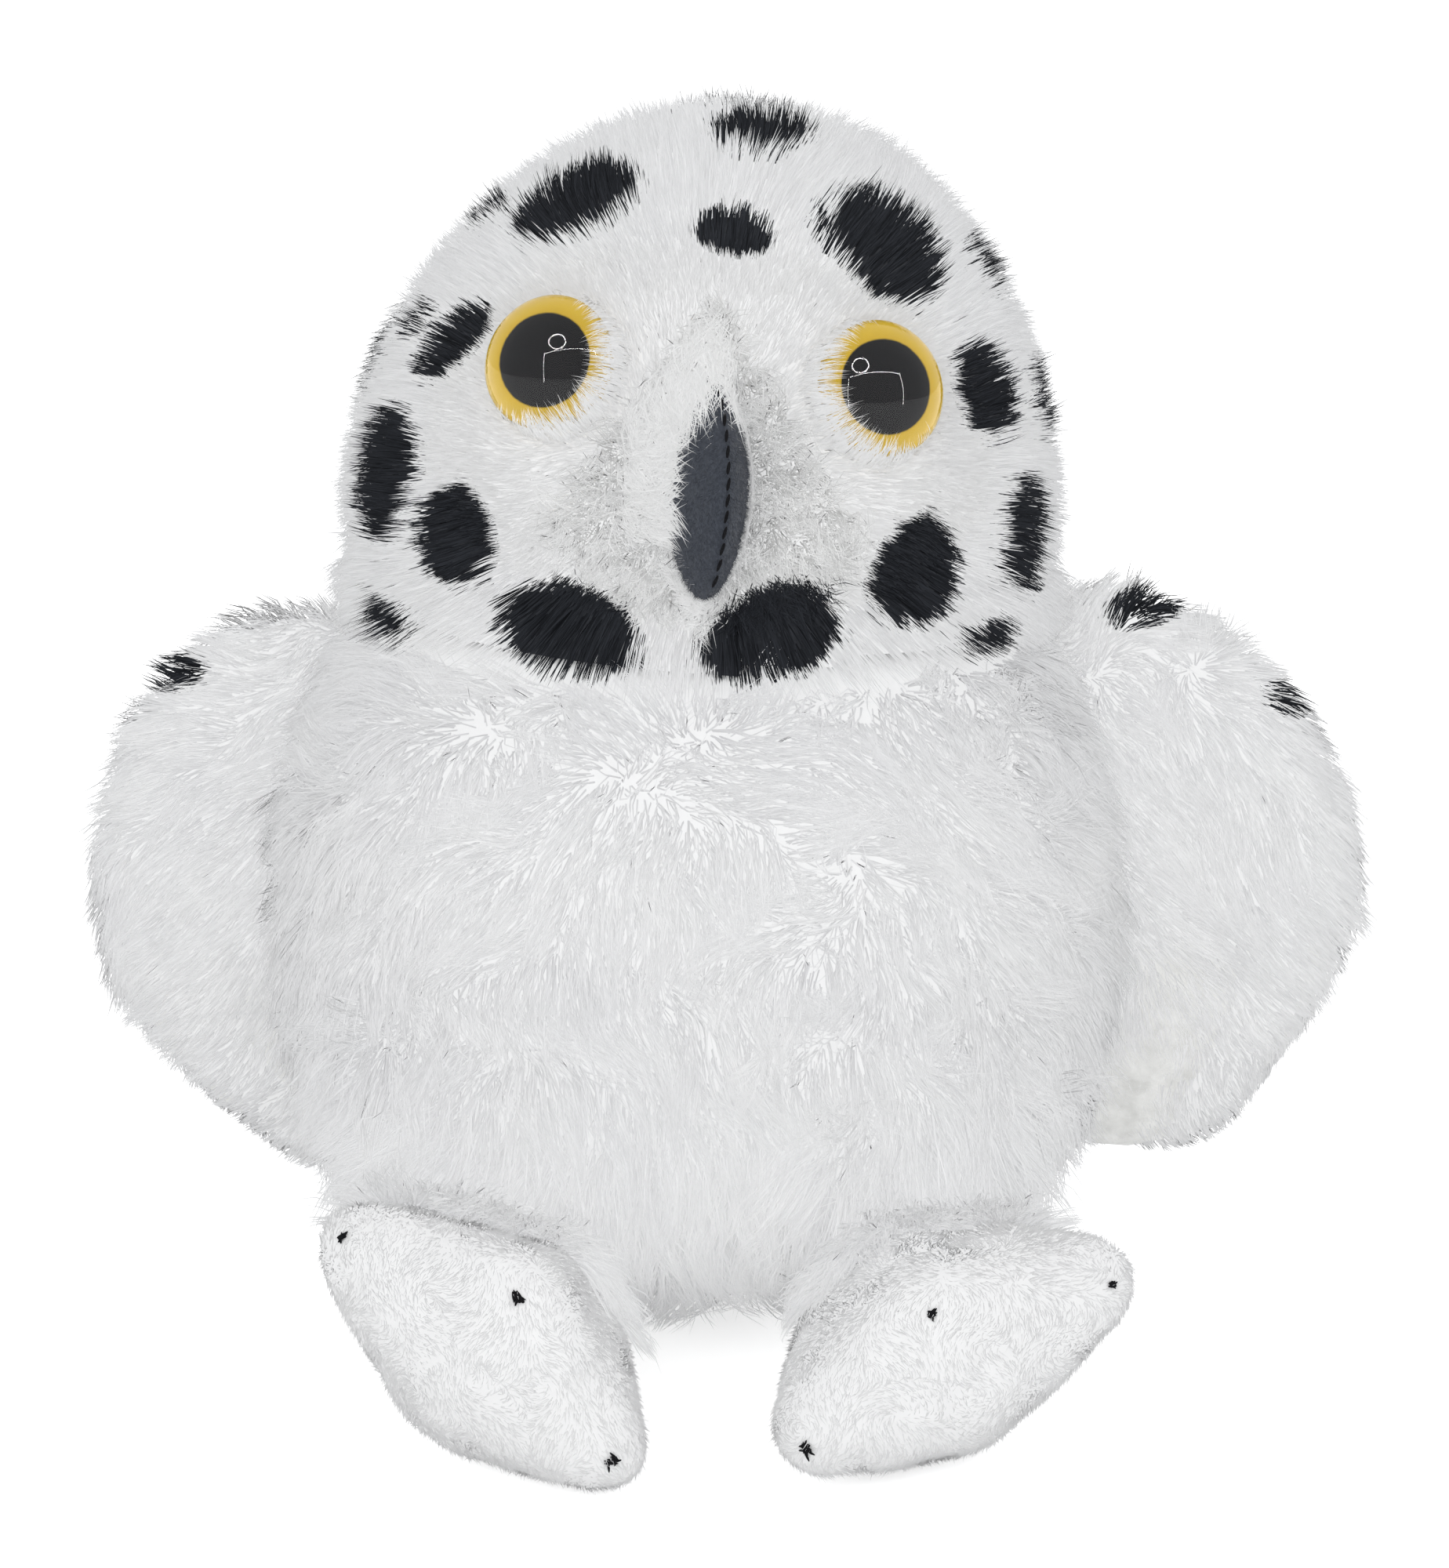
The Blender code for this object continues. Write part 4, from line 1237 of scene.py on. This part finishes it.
def ridge_stitches():
    """A running stitch along the ridge."""
    bm = bmesh.new()
    outward = beak_place.to_3x3() @ Vector((0, -1, 0))
    count = int(2 * beak_half_length * stitched_share / stitch_pitch)
    for number in range(count + 1):
        ends = []
        for way in (-1, 1):
            height = (number / count * 2 - 1) * stitched_share + way * stitch_half / beak_half_length
            deep = -beak_reach * beak_width(height) - stitch_rise
            ends.append(beak_place @ Vector((way * stitch_aside, deep, height * beak_half_length)))
        thread_run(bm, *ends, outward, stitch_radius, stitch_rise)
    stitched("beak_stitches", bm, "torso")


# %% Beak fuzz and lap
def beak_fuzz(seed=31):
    """The felt's own short fuzz."""
    rng, coat = np.random.default_rng(seed), coats["beak_fuzz"]
    roots, normals = scatter(beak_form(), coat, rng)
    keep = ~in_head(roots, 0.0)
    roots, normals = roots[keep], normals[keep]
    flow = along_skin(np.array([[0, 0, -1.0]]) + 1.2 * ruffle(roots, 0.003, 32), normals)
    lines = comb(roots, normals, flow, rng, fuzz_length, coat)
    fleece("beak_fuzz", lines, normals, coat, "torso", rng)


def grow_beak_lap(seed=33):
    """Muzzle fluff that stands up round the beak's root and laps its upper edge."""
    rng, coat = np.random.default_rng(seed), coats["beak_lap"]
    roots, normals = scatter(head_form(-muzzle_pile_depth), coat, rng)
    q = beak_local(roots)
    away = np.abs(q[:, 0] / beak_half_width) ** beak_edge_share
    away += np.abs(q[:, 2] / beak_half_length) ** beak_length_share
    upper_right = (q[:, 2] > -0.35 * beak_half_length) & (q[:, 0] < 0.5 * beak_half_width)
    keep = (away > 0.80) & (away < np.where(upper_right, 2.4, 1.4))
    keep &= (roots[:, 1] < 0) & in_kite(roots, 0.002)
    roots, normals, q = roots[keep], normals[keep], q[keep]
    axis = np.array(beak_place.to_3x3() @ Vector((1, 0, 0)))
    high = np.clip(q[:, 2:] / beak_half_length - 0.35, 0, 1)
    flow = -np.sign(q[:, :1]) * axis * (1 - high) - 6.0 * high * np.array([0, 0, 1.0])
    flow = along_skin(flow + 0.6 * ruffle(roots, 0.006, 34), normals)
    length = np.where(upper_right[keep], 0.0112 + 0.0050 * high[:, 0], 0.0058)
    lines = comb(roots, normals, flow, rng, length, coat)
    lines = laid_over(lines, tree_of(beak_form()), 0.0004, lines[:, :, 1] < 0)
    # The same painted shade between the tufts, kept lighter here.
    fleece("beak_lap_fur", lines, normals, coat, "torso", rng, 0.6 + 0.4 * painted_tuft_shade(lines[:, 0], rng),
           dye_on(lines, head_spots, rng, head_spot_depth))


beak_fuzz()
ridge_stitches()
grow_beak_lap()

# %% [markdown]
# ## Wings
# A wing is a flat pillow: white pile on its front, spotted pile on its back, and both run off its edge. Near
# the tip the pile is short, and the cloth has a few soft folds.

# %% Wing cloth
wing_pile_depth = 0.0044
fold_depth = 0.0016
wing_spots = {
    "right": [(-99.2, 5, 120.6, 6.2, 5, 30), (-88, 30, 104, 11, 9, 15), (-106, 22, 92, 9, 12, 0),
              (-80, 34, 80, 10, 10, 0), (-98, 28, 66, 10, 9, 0), (-82, 30, 50, 10, 9, 20)],
    "left": [(82.8, 6, 131.6, 5.6, 4, 10), (109, 4, 114.5, 3, 4, -25), (88, 30, 108, 10, 10, -15),
             (106, 24, 94, 10, 10, 0), (80, 33, 82, 11, 9, 0), (98, 29, 68, 9, 11, 0),
             (82, 30, 50, 10, 9, -20)]}


def wing_local(points, side_name):
    """Points in a wing's own upright axes, mirrored so that both wings read as the left one."""
    q = placed(wing_place(side_name).inverted(), points)
    return q * np.array([sides[side_name], 1, 1])


def wing_skin(side_name):
    """A wing's cloth with soft folds near its tip."""
    bm = wing_form(side_name, -wing_pile_depth)
    q = wing_local(places(bm.verts), side_name)
    low = np.clip((-q[:, 2] - 0.008) / 0.025, 0, 1) * np.clip(1.15 + q[:, 2] / wing_half.z, 0, 1) * 4
    fold = np.sin(q[:, 0] / 0.0052 + 1.5 * np.sin(q[:, 2] / 0.011)) * low.clip(0, 1)
    outward = np.array([vert.normal[:] for vert in bm.verts])
    for vert, move in zip(bm.verts, outward * (fold * fold_depth - fold_depth * low.clip(0, 1))[:, None]):
        vert.co += Vector(move)
    return bm


def wing_panel(name, side_name, front, paint, node_name):
    """One panel of a wing, cut away where it meets the body."""
    def wanted(points):
        return ((wing_local(points, side_name)[:, 1] < 0) == front) & ~in_body(points, -0.007)
    return cloth(name, kept_faces(wing_skin(side_name), wanted), paint, "wing_" + side_name,
                 [node_name])


# %% Wing pile
def grow_wing(side_name, seed):
    """Pile of a wing, combed out and down from the shoulder."""
    rng, coat = np.random.default_rng(seed), coats["wing_front"]
    roots, normals = scatter(wing_skin(side_name), coat, rng)
    keep = ~in_body(roots, -0.004)
    keep &= (wing_local(roots, side_name)[:, 1] < 0.003) | (rng.random(len(roots)) < back_share)
    roots, normals = roots[keep], normals[keep]
    q = wing_local(roots, side_name)
    down = -0.75 + 1.1 * np.clip(q[:, 2] / wing_half.z, 0, 1) ** 2
    flow = np.stack([np.full(len(q), sides[side_name] * 0.55), np.zeros(len(q)), down], 1)
    flow = flow + 0.38 * ruffle(roots, 0.030, seed + 1) + 0.22 * ruffle(roots, 0.012, seed + 2)
    flow = along_skin(flow, normals)
    short = np.clip((-q[:, 2] - 0.012) / 0.020, 0, 1)
    rim = np.clip((np.abs(normals[:, 1]) - 0.1) / 0.5, 0.0, 1)
    length = (0.0098 - 0.0056 * short) * (0.72 + 0.28 * rim)
    lines = comb(roots, normals, flow, rng, length, coat)
    plain = (q[:, 1] < 0) & (spot_value(lines[:, -2], wing_spots[side_name]) > 1.6)
    tone, body = patchy(roots, rng), "wing_" + side_name
    fleece("wing_front_fur_" + side_name, lines[plain], normals[plain], coat, body, rng, tone[plain])
    dyed("wing_back_fur_" + side_name, lines[~plain], normals[~plain], coats["wing_back"], body, rng,
         wing_spots[side_name])


for side_name, seed in (("left", 41), ("right", 45)):
    wing_panel("wing_front_cloth_" + side_name, side_name, True, white_cloth,
               "wing_" + side_name + "_front_panel")
    dye_cloth(wing_panel("wing_back_cloth_" + side_name, side_name, False, spotted_cloth,
                         "wing_" + side_name + "_back_panel"), wing_spots[side_name])
    grow_wing(side_name, seed)

# %% [markdown]
# ## Feet
# A foot is a cover drawn tight over three toes, a pad and the root of the leg. Its skin is found by casting
# rays from the pad's middle to the hull of those balls. Then the seam and the creases behind the toes are
# pressed in, and a very short nap is combed over it.

# %% Foot form
foot_out = {"left": 0.0420, "right": 0.0345}
foot_forward = 0.076
foot_pad_radius = 0.0185
foot_roll_deg = {"left": 5, "right": -8}
foot_pitch_deg = {"left": 0, "right": 7}
toe_radius = 0.0080
toes = {"inner": (-0.0218, -0.0210, -0.0094), "middle": (-0.0038, -0.0230, 0.0156),
        "outer": (0.0258, -0.0050, 0.0168)}
sole_bulge = (-0.0010, -0.0135, 0.0030)
sole_radius = 0.0158
leg_root = (-0.0060, 0.0200, 0.0025)
leg_radius = 0.0150
nap_depth = 0.0007
foot_plump = 0.0006
foot_passes = 8 if fineness == 1 else 3
seam_depth = 0.0004
seam_width = 0.0012
crease_depth = {"inner": 0.0009, "middle": 0.0004, "outer": 0.0006}
crease_width = 0.0013
crease_back = 0.0035
dent_depth = 0.00022


def foot_place(side_name):
    """A foot's middle, with the roll and pitch that it rests at."""
    side = sides[side_name]
    roll = Matrix.Rotation(math.radians(foot_roll_deg[side_name] * side), 4, "Y")
    pitch = Matrix.Rotation(math.radians(-foot_pitch_deg[side_name]), 4, "X")
    middle = Vector((foot_out[side_name] * side, -foot_forward, foot_pad_radius - seat_flat))
    return Matrix.Translation(middle) @ pitch @ roll


def mirrored(point, side_name):
    """A point of the left foot, or its mirror image for the right foot."""
    return Vector((point[0] * sides[side_name], point[1], point[2]))


def seam_plane(side_name):
    """A point of the seam's plane through the three toe tips, and its normal on the sole's side."""
    tips = [mirrored(toe, side_name) for toe in toes.values()]
    tips = [tip + tip.normalized() * toe_radius for tip in tips]
    normal = (tips[1] - tips[0]).cross(tips[2] - tips[0]) * sides[side_name]
    return np.array(tips[0]), unit(np.array(normal))


def foot_hull(side_name):
    """The hull of the foot's balls under the nap, in the foot's own axes, as a tree for casting rays."""
    balls = [(toe, toe_radius) for toe in toes.values()]
    balls += [((0, 0, 0), foot_pad_radius), (sole_bulge, sole_radius), (leg_root, leg_radius)]
    bm = bmesh.new()
    for centre, radius in balls:
        made = bmesh.ops.create_uvsphere(bm, u_segments=28, v_segments=20, radius=radius - nap_depth)
        bmesh.ops.translate(bm, verts=made["verts"], vec=mirrored(centre, side_name))
    bmesh.ops.delete(bm, geom=bm.edges[:] + bm.faces[:], context="EDGES_FACES")
    bmesh.ops.convex_hull(bm, input=bm.verts)
    return tree_of(bm)


def foot_skin(side_name):
    """The foot's cloth: a fine ball thrown onto the hull, eased, and pressed in at its seam and creases."""
    tree = foot_hull(side_name)
    bm = bmesh.new()
    bmesh.ops.create_icosphere(bm, subdivisions=5 if fineness == 1 else 4, radius=1)
    for vert in bm.verts:
        vert.co = tree.ray_cast(Vector((0, 0, 0)), vert.co.normalized())[0]
    for _ in range(foot_passes):
        bmesh.ops.smooth_vert(bm, verts=bm.verts, factor=0.5, use_axis_x=True, use_axis_y=True,
                              use_axis_z=True)
    bm.normal_update()
    for vert in bm.verts:
        vert.co += vert.normal * foot_plump
    points = places(bm.verts)
    seam_at, seam_normal = seam_plane(side_name)
    press = seam_depth * np.exp(-((points - seam_at) @ seam_normal / seam_width) ** 2)
    for toe_name, toe in toes.items():
        centre = np.array(mirrored(toe, side_name))
        forward = points @ unit(centre)
        reach = forward - (np.linalg.norm(centre) - crease_back)
        near = np.clip((forward / np.linalg.norm(points, axis=1) - 0.62) / 0.15, 0, 1)
        wander = 0.0011 * ruffle(points, 0.009, 51)[:, 0]
        press += crease_depth[toe_name] * near * np.exp(-((reach + wander) / crease_width) ** 2)
    press += dent_depth * (ruffle(points, 0.017, 52)[:, 0] + 0.6)
    for vert, depth in zip(bm.verts, press):
        vert.co -= vert.co.normalized() * depth
    bmesh.ops.transform(bm, matrix=foot_place(side_name), verts=bm.verts)
    for vert in bm.verts:
        vert.co.z = max(vert.co.z, 0.0005)
    return bm


foot_trees = {side_name: tree_of(foot_skin(side_name)) for side_name in sides}

# %% Foot panels, claws and nap
claw_reach = {"left": {"inner": 0.0014, "middle": 0.0010, "outer": 0.0009},
              "right": {"inner": 0.0013, "middle": 0.0013, "outer": 0.0010}}
claw_strands = 14
claw_thread = 0.00022
bare_share = 0.55
nap_length = 0.0017


def foot_panel(part, side_name, sole):
    """The sole panel or the top panel of a foot."""
    def wanted(points):
        seam_at, seam_normal = seam_plane(side_name)
        q = placed(foot_place(side_name).inverted(), points)
        return ((q - seam_at) @ seam_normal > 0) == sole
    cloth("foot_" + part + "_cloth_" + side_name, kept_faces(foot_skin(side_name), wanted), plush_cloth,
          "foot_" + side_name, ["foot_" + side_name + "_" + part + "_panel"])


def claw_place(side_name, toe_name):
    """Where a claw's stitches lie on the foot's skin, and the cloth's outward direction there."""
    centre = mirrored(toes[toe_name], side_name)
    ahead = (centre.normalized() * 0.35 + Vector((0, -1, 0.12))).normalized()
    return foot_trees[side_name].find_nearest(foot_place(side_name) @ (centre + ahead * toe_radius))[:2]


def make_claw(side_name, toe_name, seed):
    """A claw: a knot of black stitches that fan a little."""
    rng = np.random.default_rng(seed)
    middle, outward = claw_place(side_name, toe_name)
    across = outward.cross(Vector((0, 0, 1))).normalized()
    upward = outward.cross(across)
    bm = bmesh.new()
    reach = claw_reach[side_name][toe_name]
    for _ in range(claw_strands):
        lean = Matrix.Rotation(rng.uniform(0, math.pi), 3, outward)
        half = lean @ (upward * rng.uniform(0.25, 0.8) * reach)
        at = middle + (across * rng.normal() + upward * rng.normal()) * reach * 0.26
        thread_run(bm, at - half, at + half, outward, claw_thread, 0.0003)
    stitched("claw_stitches_" + side_name + "_" + toe_name, bm, "foot_" + side_name,
             ["claw_" + side_name + "_" + toe_name])


def grow_nap(side_name, seed):
    """The nap of a foot, combed from the leg to the toes, parted round the stitches."""
    rng, coat = np.random.default_rng(seed), coats["nap"]
    roots, normals = scatter(foot_skin(side_name), coat, rng)
    keep = ~in_body(roots, -0.005)
    for toe_name, reach in claw_reach[side_name].items():
        where = np.array(claw_place(side_name, toe_name)[0])
        keep &= np.linalg.norm(roots - where, axis=1) > reach * bare_share
    roots, normals = roots[keep], normals[keep]
    flow = along_skin(np.array([[0, -0.4, -0.6]]) + 0.8 * ruffle(roots, 0.012, seed + 1), normals)
    lines = comb(roots, normals, flow, rng, nap_length, coat)
    facing = unit(normals + np.array([0, -0.22, 0.50]))
    fleece("foot_nap_" + side_name, lines, facing, coat, "foot_" + side_name, rng)


# %% [markdown]
# ## Belly pile
# The shaggy pile is combed away from its whorl. At the hem it grows longer and lies on the feet, and longer
# locks at each leg seam carry it on to the foot. Those ride the foot, so they move with it.

# %% Belly pile and the locks at the leg seams
whorl = np.array([-0.004, -0.066, 0.115])
chin_shade = 0.45
chin_reaches = (0.004, 0.008, 0.012, 0.016)
fringe_rise = 0.0008
apron_reach = 0.017
apron_length = 0.0105


def grow_belly(seed=11):
    """Shaggy pile of the belly, combed away from the whorl."""
    rng, coat = np.random.default_rng(seed), coats["belly"]
    roots, normals, covered = body_roots(lambda points: on_belly(points) & (points[:, 2] > 0.010), coat, rng)
    from_whorl = roots - whorl
    whorl_away = np.linalg.norm(from_whorl, axis=1)
    near = np.exp(-(whorl_away / 0.024) ** 2)[:, None]
    flow = unit(from_whorl) * (0.35 + 0.9 * near) + outward_and_down(roots, 0.8, 0.35) * (1 - near)
    flow += 0.55 * ruffle(roots, 0.045, 5) + 0.80 * ruffle(roots, 0.014, 6) + 0.40 * ruffle(roots, 0.006, 9)
    flow = along_skin(flow, normals)
    hem = np.clip((0.064 - roots[:, 2]) / 0.02, 0, 1) * np.clip((-roots[:, 1] - 0.02) / 0.03, 0, 1)
    on_feet = hem * np.clip((np.abs(roots[:, 0]) - 0.021) / 0.008, 0, 1)
    length = 0.0118 + 0.0012 * ruffle(roots, 0.03, 7)[:, 0] + 0.0150 * on_feet
    off_floor = np.minimum(length, np.maximum(roots[:, 2] - 0.005, 0.004))
    length = np.where(covered, under_wing_length, np.where(on_feet > 0.5, length, off_floor))
    core = np.exp(-(whorl_away / 0.013) ** 2)
    lines = comb(roots, normals, flow, rng, length, coat,
                 (24 * on_feet + 24 * core, 12 * on_feet + 26 * core))
    for tree in foot_trees.values():
        lines = laid_over(lines, tree, fringe_rise, (lines[:, :, 2] < 0.050) & (lines[:, :, 1] < -0.050))
    facing = unit(normals + 1.2 * hem[:, None] * np.array([0, -0.7, 0.7]))
    # Painted shadow: the pile is darker in tone the nearer it is to the head, for the shadow under the chin.
    by_chin = sum(in_head(roots, reach) for reach in chin_reaches) / len(chin_reaches)
    tone = patchy(roots, rng) - chin_shade * by_chin
    fleeces("belly_fur", lines, facing, coat, "torso", rng, tone)


def grow_apron(side_name, seed):
    """Long locks at the leg seam, rooted on the foot, that carry the belly's pile on to its top."""
    rng, coat = np.random.default_rng(seed), coats["apron"]
    roots, normals = scatter(foot_skin(side_name), coat, rng)
    keep = in_body(roots, apron_reach) & ~in_body(roots, 0.0) & (normals[:, 2] > 0.4) & (roots[:, 1] < -0.060)
    roots, normals = roots[keep] + fringe_rise * normals[keep], normals[keep]
    flow = along_skin(np.array([[0, -1.0, -0.55]]) + 0.30 * ruffle(roots, 0.014, 6), normals)
    lines = comb(roots, normals, flow, rng, apron_length, coat)
    lines = laid_over(lines, foot_trees[side_name], fringe_rise, lines[:, :, 1] < -0.050)
    facing = unit(0.3 * normals + np.array([-0.1, -0.9, 0.4]))
    fleece("apron_fur_" + side_name, lines, facing, coat, "foot_" + side_name, rng)


grow_belly()
grow_apron("left", 81)
grow_apron("right", 82)
for number, side_name in enumerate(sides):
    foot_panel("sole", side_name, True)
    foot_panel("top", side_name, False)
    grow_nap(side_name, 53 + number * 4)
    for toe_number, toe_name in enumerate(toes):
        make_claw(side_name, toe_name, 61 + number * 3 + toe_number)

# %% [markdown]
# ## Tail
# The tail is a short flap behind the seat, spotted on top and white below.

# %% Tail cloth and pile
tail_half = Vector((0.025, 0.027, 0.0085))
tail_back = 0.064
tail_slope_deg = 6
tail_pile = 0.0036
tail_fall = tail_half.y * math.sin(math.radians(tail_slope_deg))
tail_place = (Matrix.Translation((0, tail_back, tail_half.z + tail_fall / 2 - seat_flat))
              @ Matrix.Rotation(math.radians(-tail_slope_deg), 4, "X"))
tail_spots = [(-12, 68, 19, 8, 7, 0), (11, 76, 18, 8, 7, 0), (-2, 88, 14, 8, 6, 0)]


def tail_form():
    """The tail's swollen flap under its pile, in its place."""
    bm = swollen(pushed(tail_half, -tail_pile), body_fullness, 64, 40)
    bmesh.ops.transform(bm, matrix=tail_place, verts=bm.verts)
    for vert in bm.verts:
        vert.co.z = max(vert.co.z, 0.0008)
    return bm


def tail_panel(part, paint):
    """The upper or lower panel of the tail."""
    bm = kept_faces(tail_form(), lambda points: (placed(tail_place.inverted(), points)[:, 2] > 0)
                    == (part == "upper"))
    return cloth("tail_" + part + "_cloth", bm, paint, "tail", ["tail_" + part + "_panel"])


def grow_tail(seed=71):
    """Pile of the tail, combed to its end."""
    rng, coat = np.random.default_rng(seed), coats["tail"]
    roots, normals = scatter(tail_form(), coat, rng)
    keep = ~in_body(roots, -0.004) & (roots[:, 2] > 0.0015)
    roots, normals = roots[keep], normals[keep]
    flow = along_skin(np.array([[0, 1.0, -0.1]]) + 0.3 * ruffle(roots, 0.02, 72), normals)
    length = np.where(normals[:, 2] < -0.2, 0.005, 0.010)
    lines = comb(roots, normals, flow, rng, length, coat)
    dyed("tail_fur", lines, normals, coat, "tail", rng, tail_spots)


dye_cloth(tail_panel("upper", spotted_cloth), tail_spots)
tail_panel("lower", white_cloth)
grow_tail()

# %% [markdown]
# ## Inside
# The fillings, the pellet bag and the lock washers keep their solids from the frame and get their own
# materials, so that a cut through the owl shows what it is made of.

# %% Materials of the inner pieces
inner_paints = {
    "filling": cloth_paint("filling_fibre", (0.72, 0.72, 0.70), (0.92, 0.92, 0.90), 300, 1.0, 0.001),
    "bag": cloth_paint("bag_cotton", (0.55, 0.50, 0.40), (0.78, 0.74, 0.64), 600),
    "washer": cloth_paint("washer_plastic", (0.62, 0.62, 0.60), (0.76, 0.76, 0.74), 500, 0.45, 0.0001)}
for name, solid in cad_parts.items():
    for word, paint in inner_paints.items():
        if word in name:
            solid.data.materials.clear()
            solid.data.materials.append(paint)

# %% Sizes
print("totals:", totals)
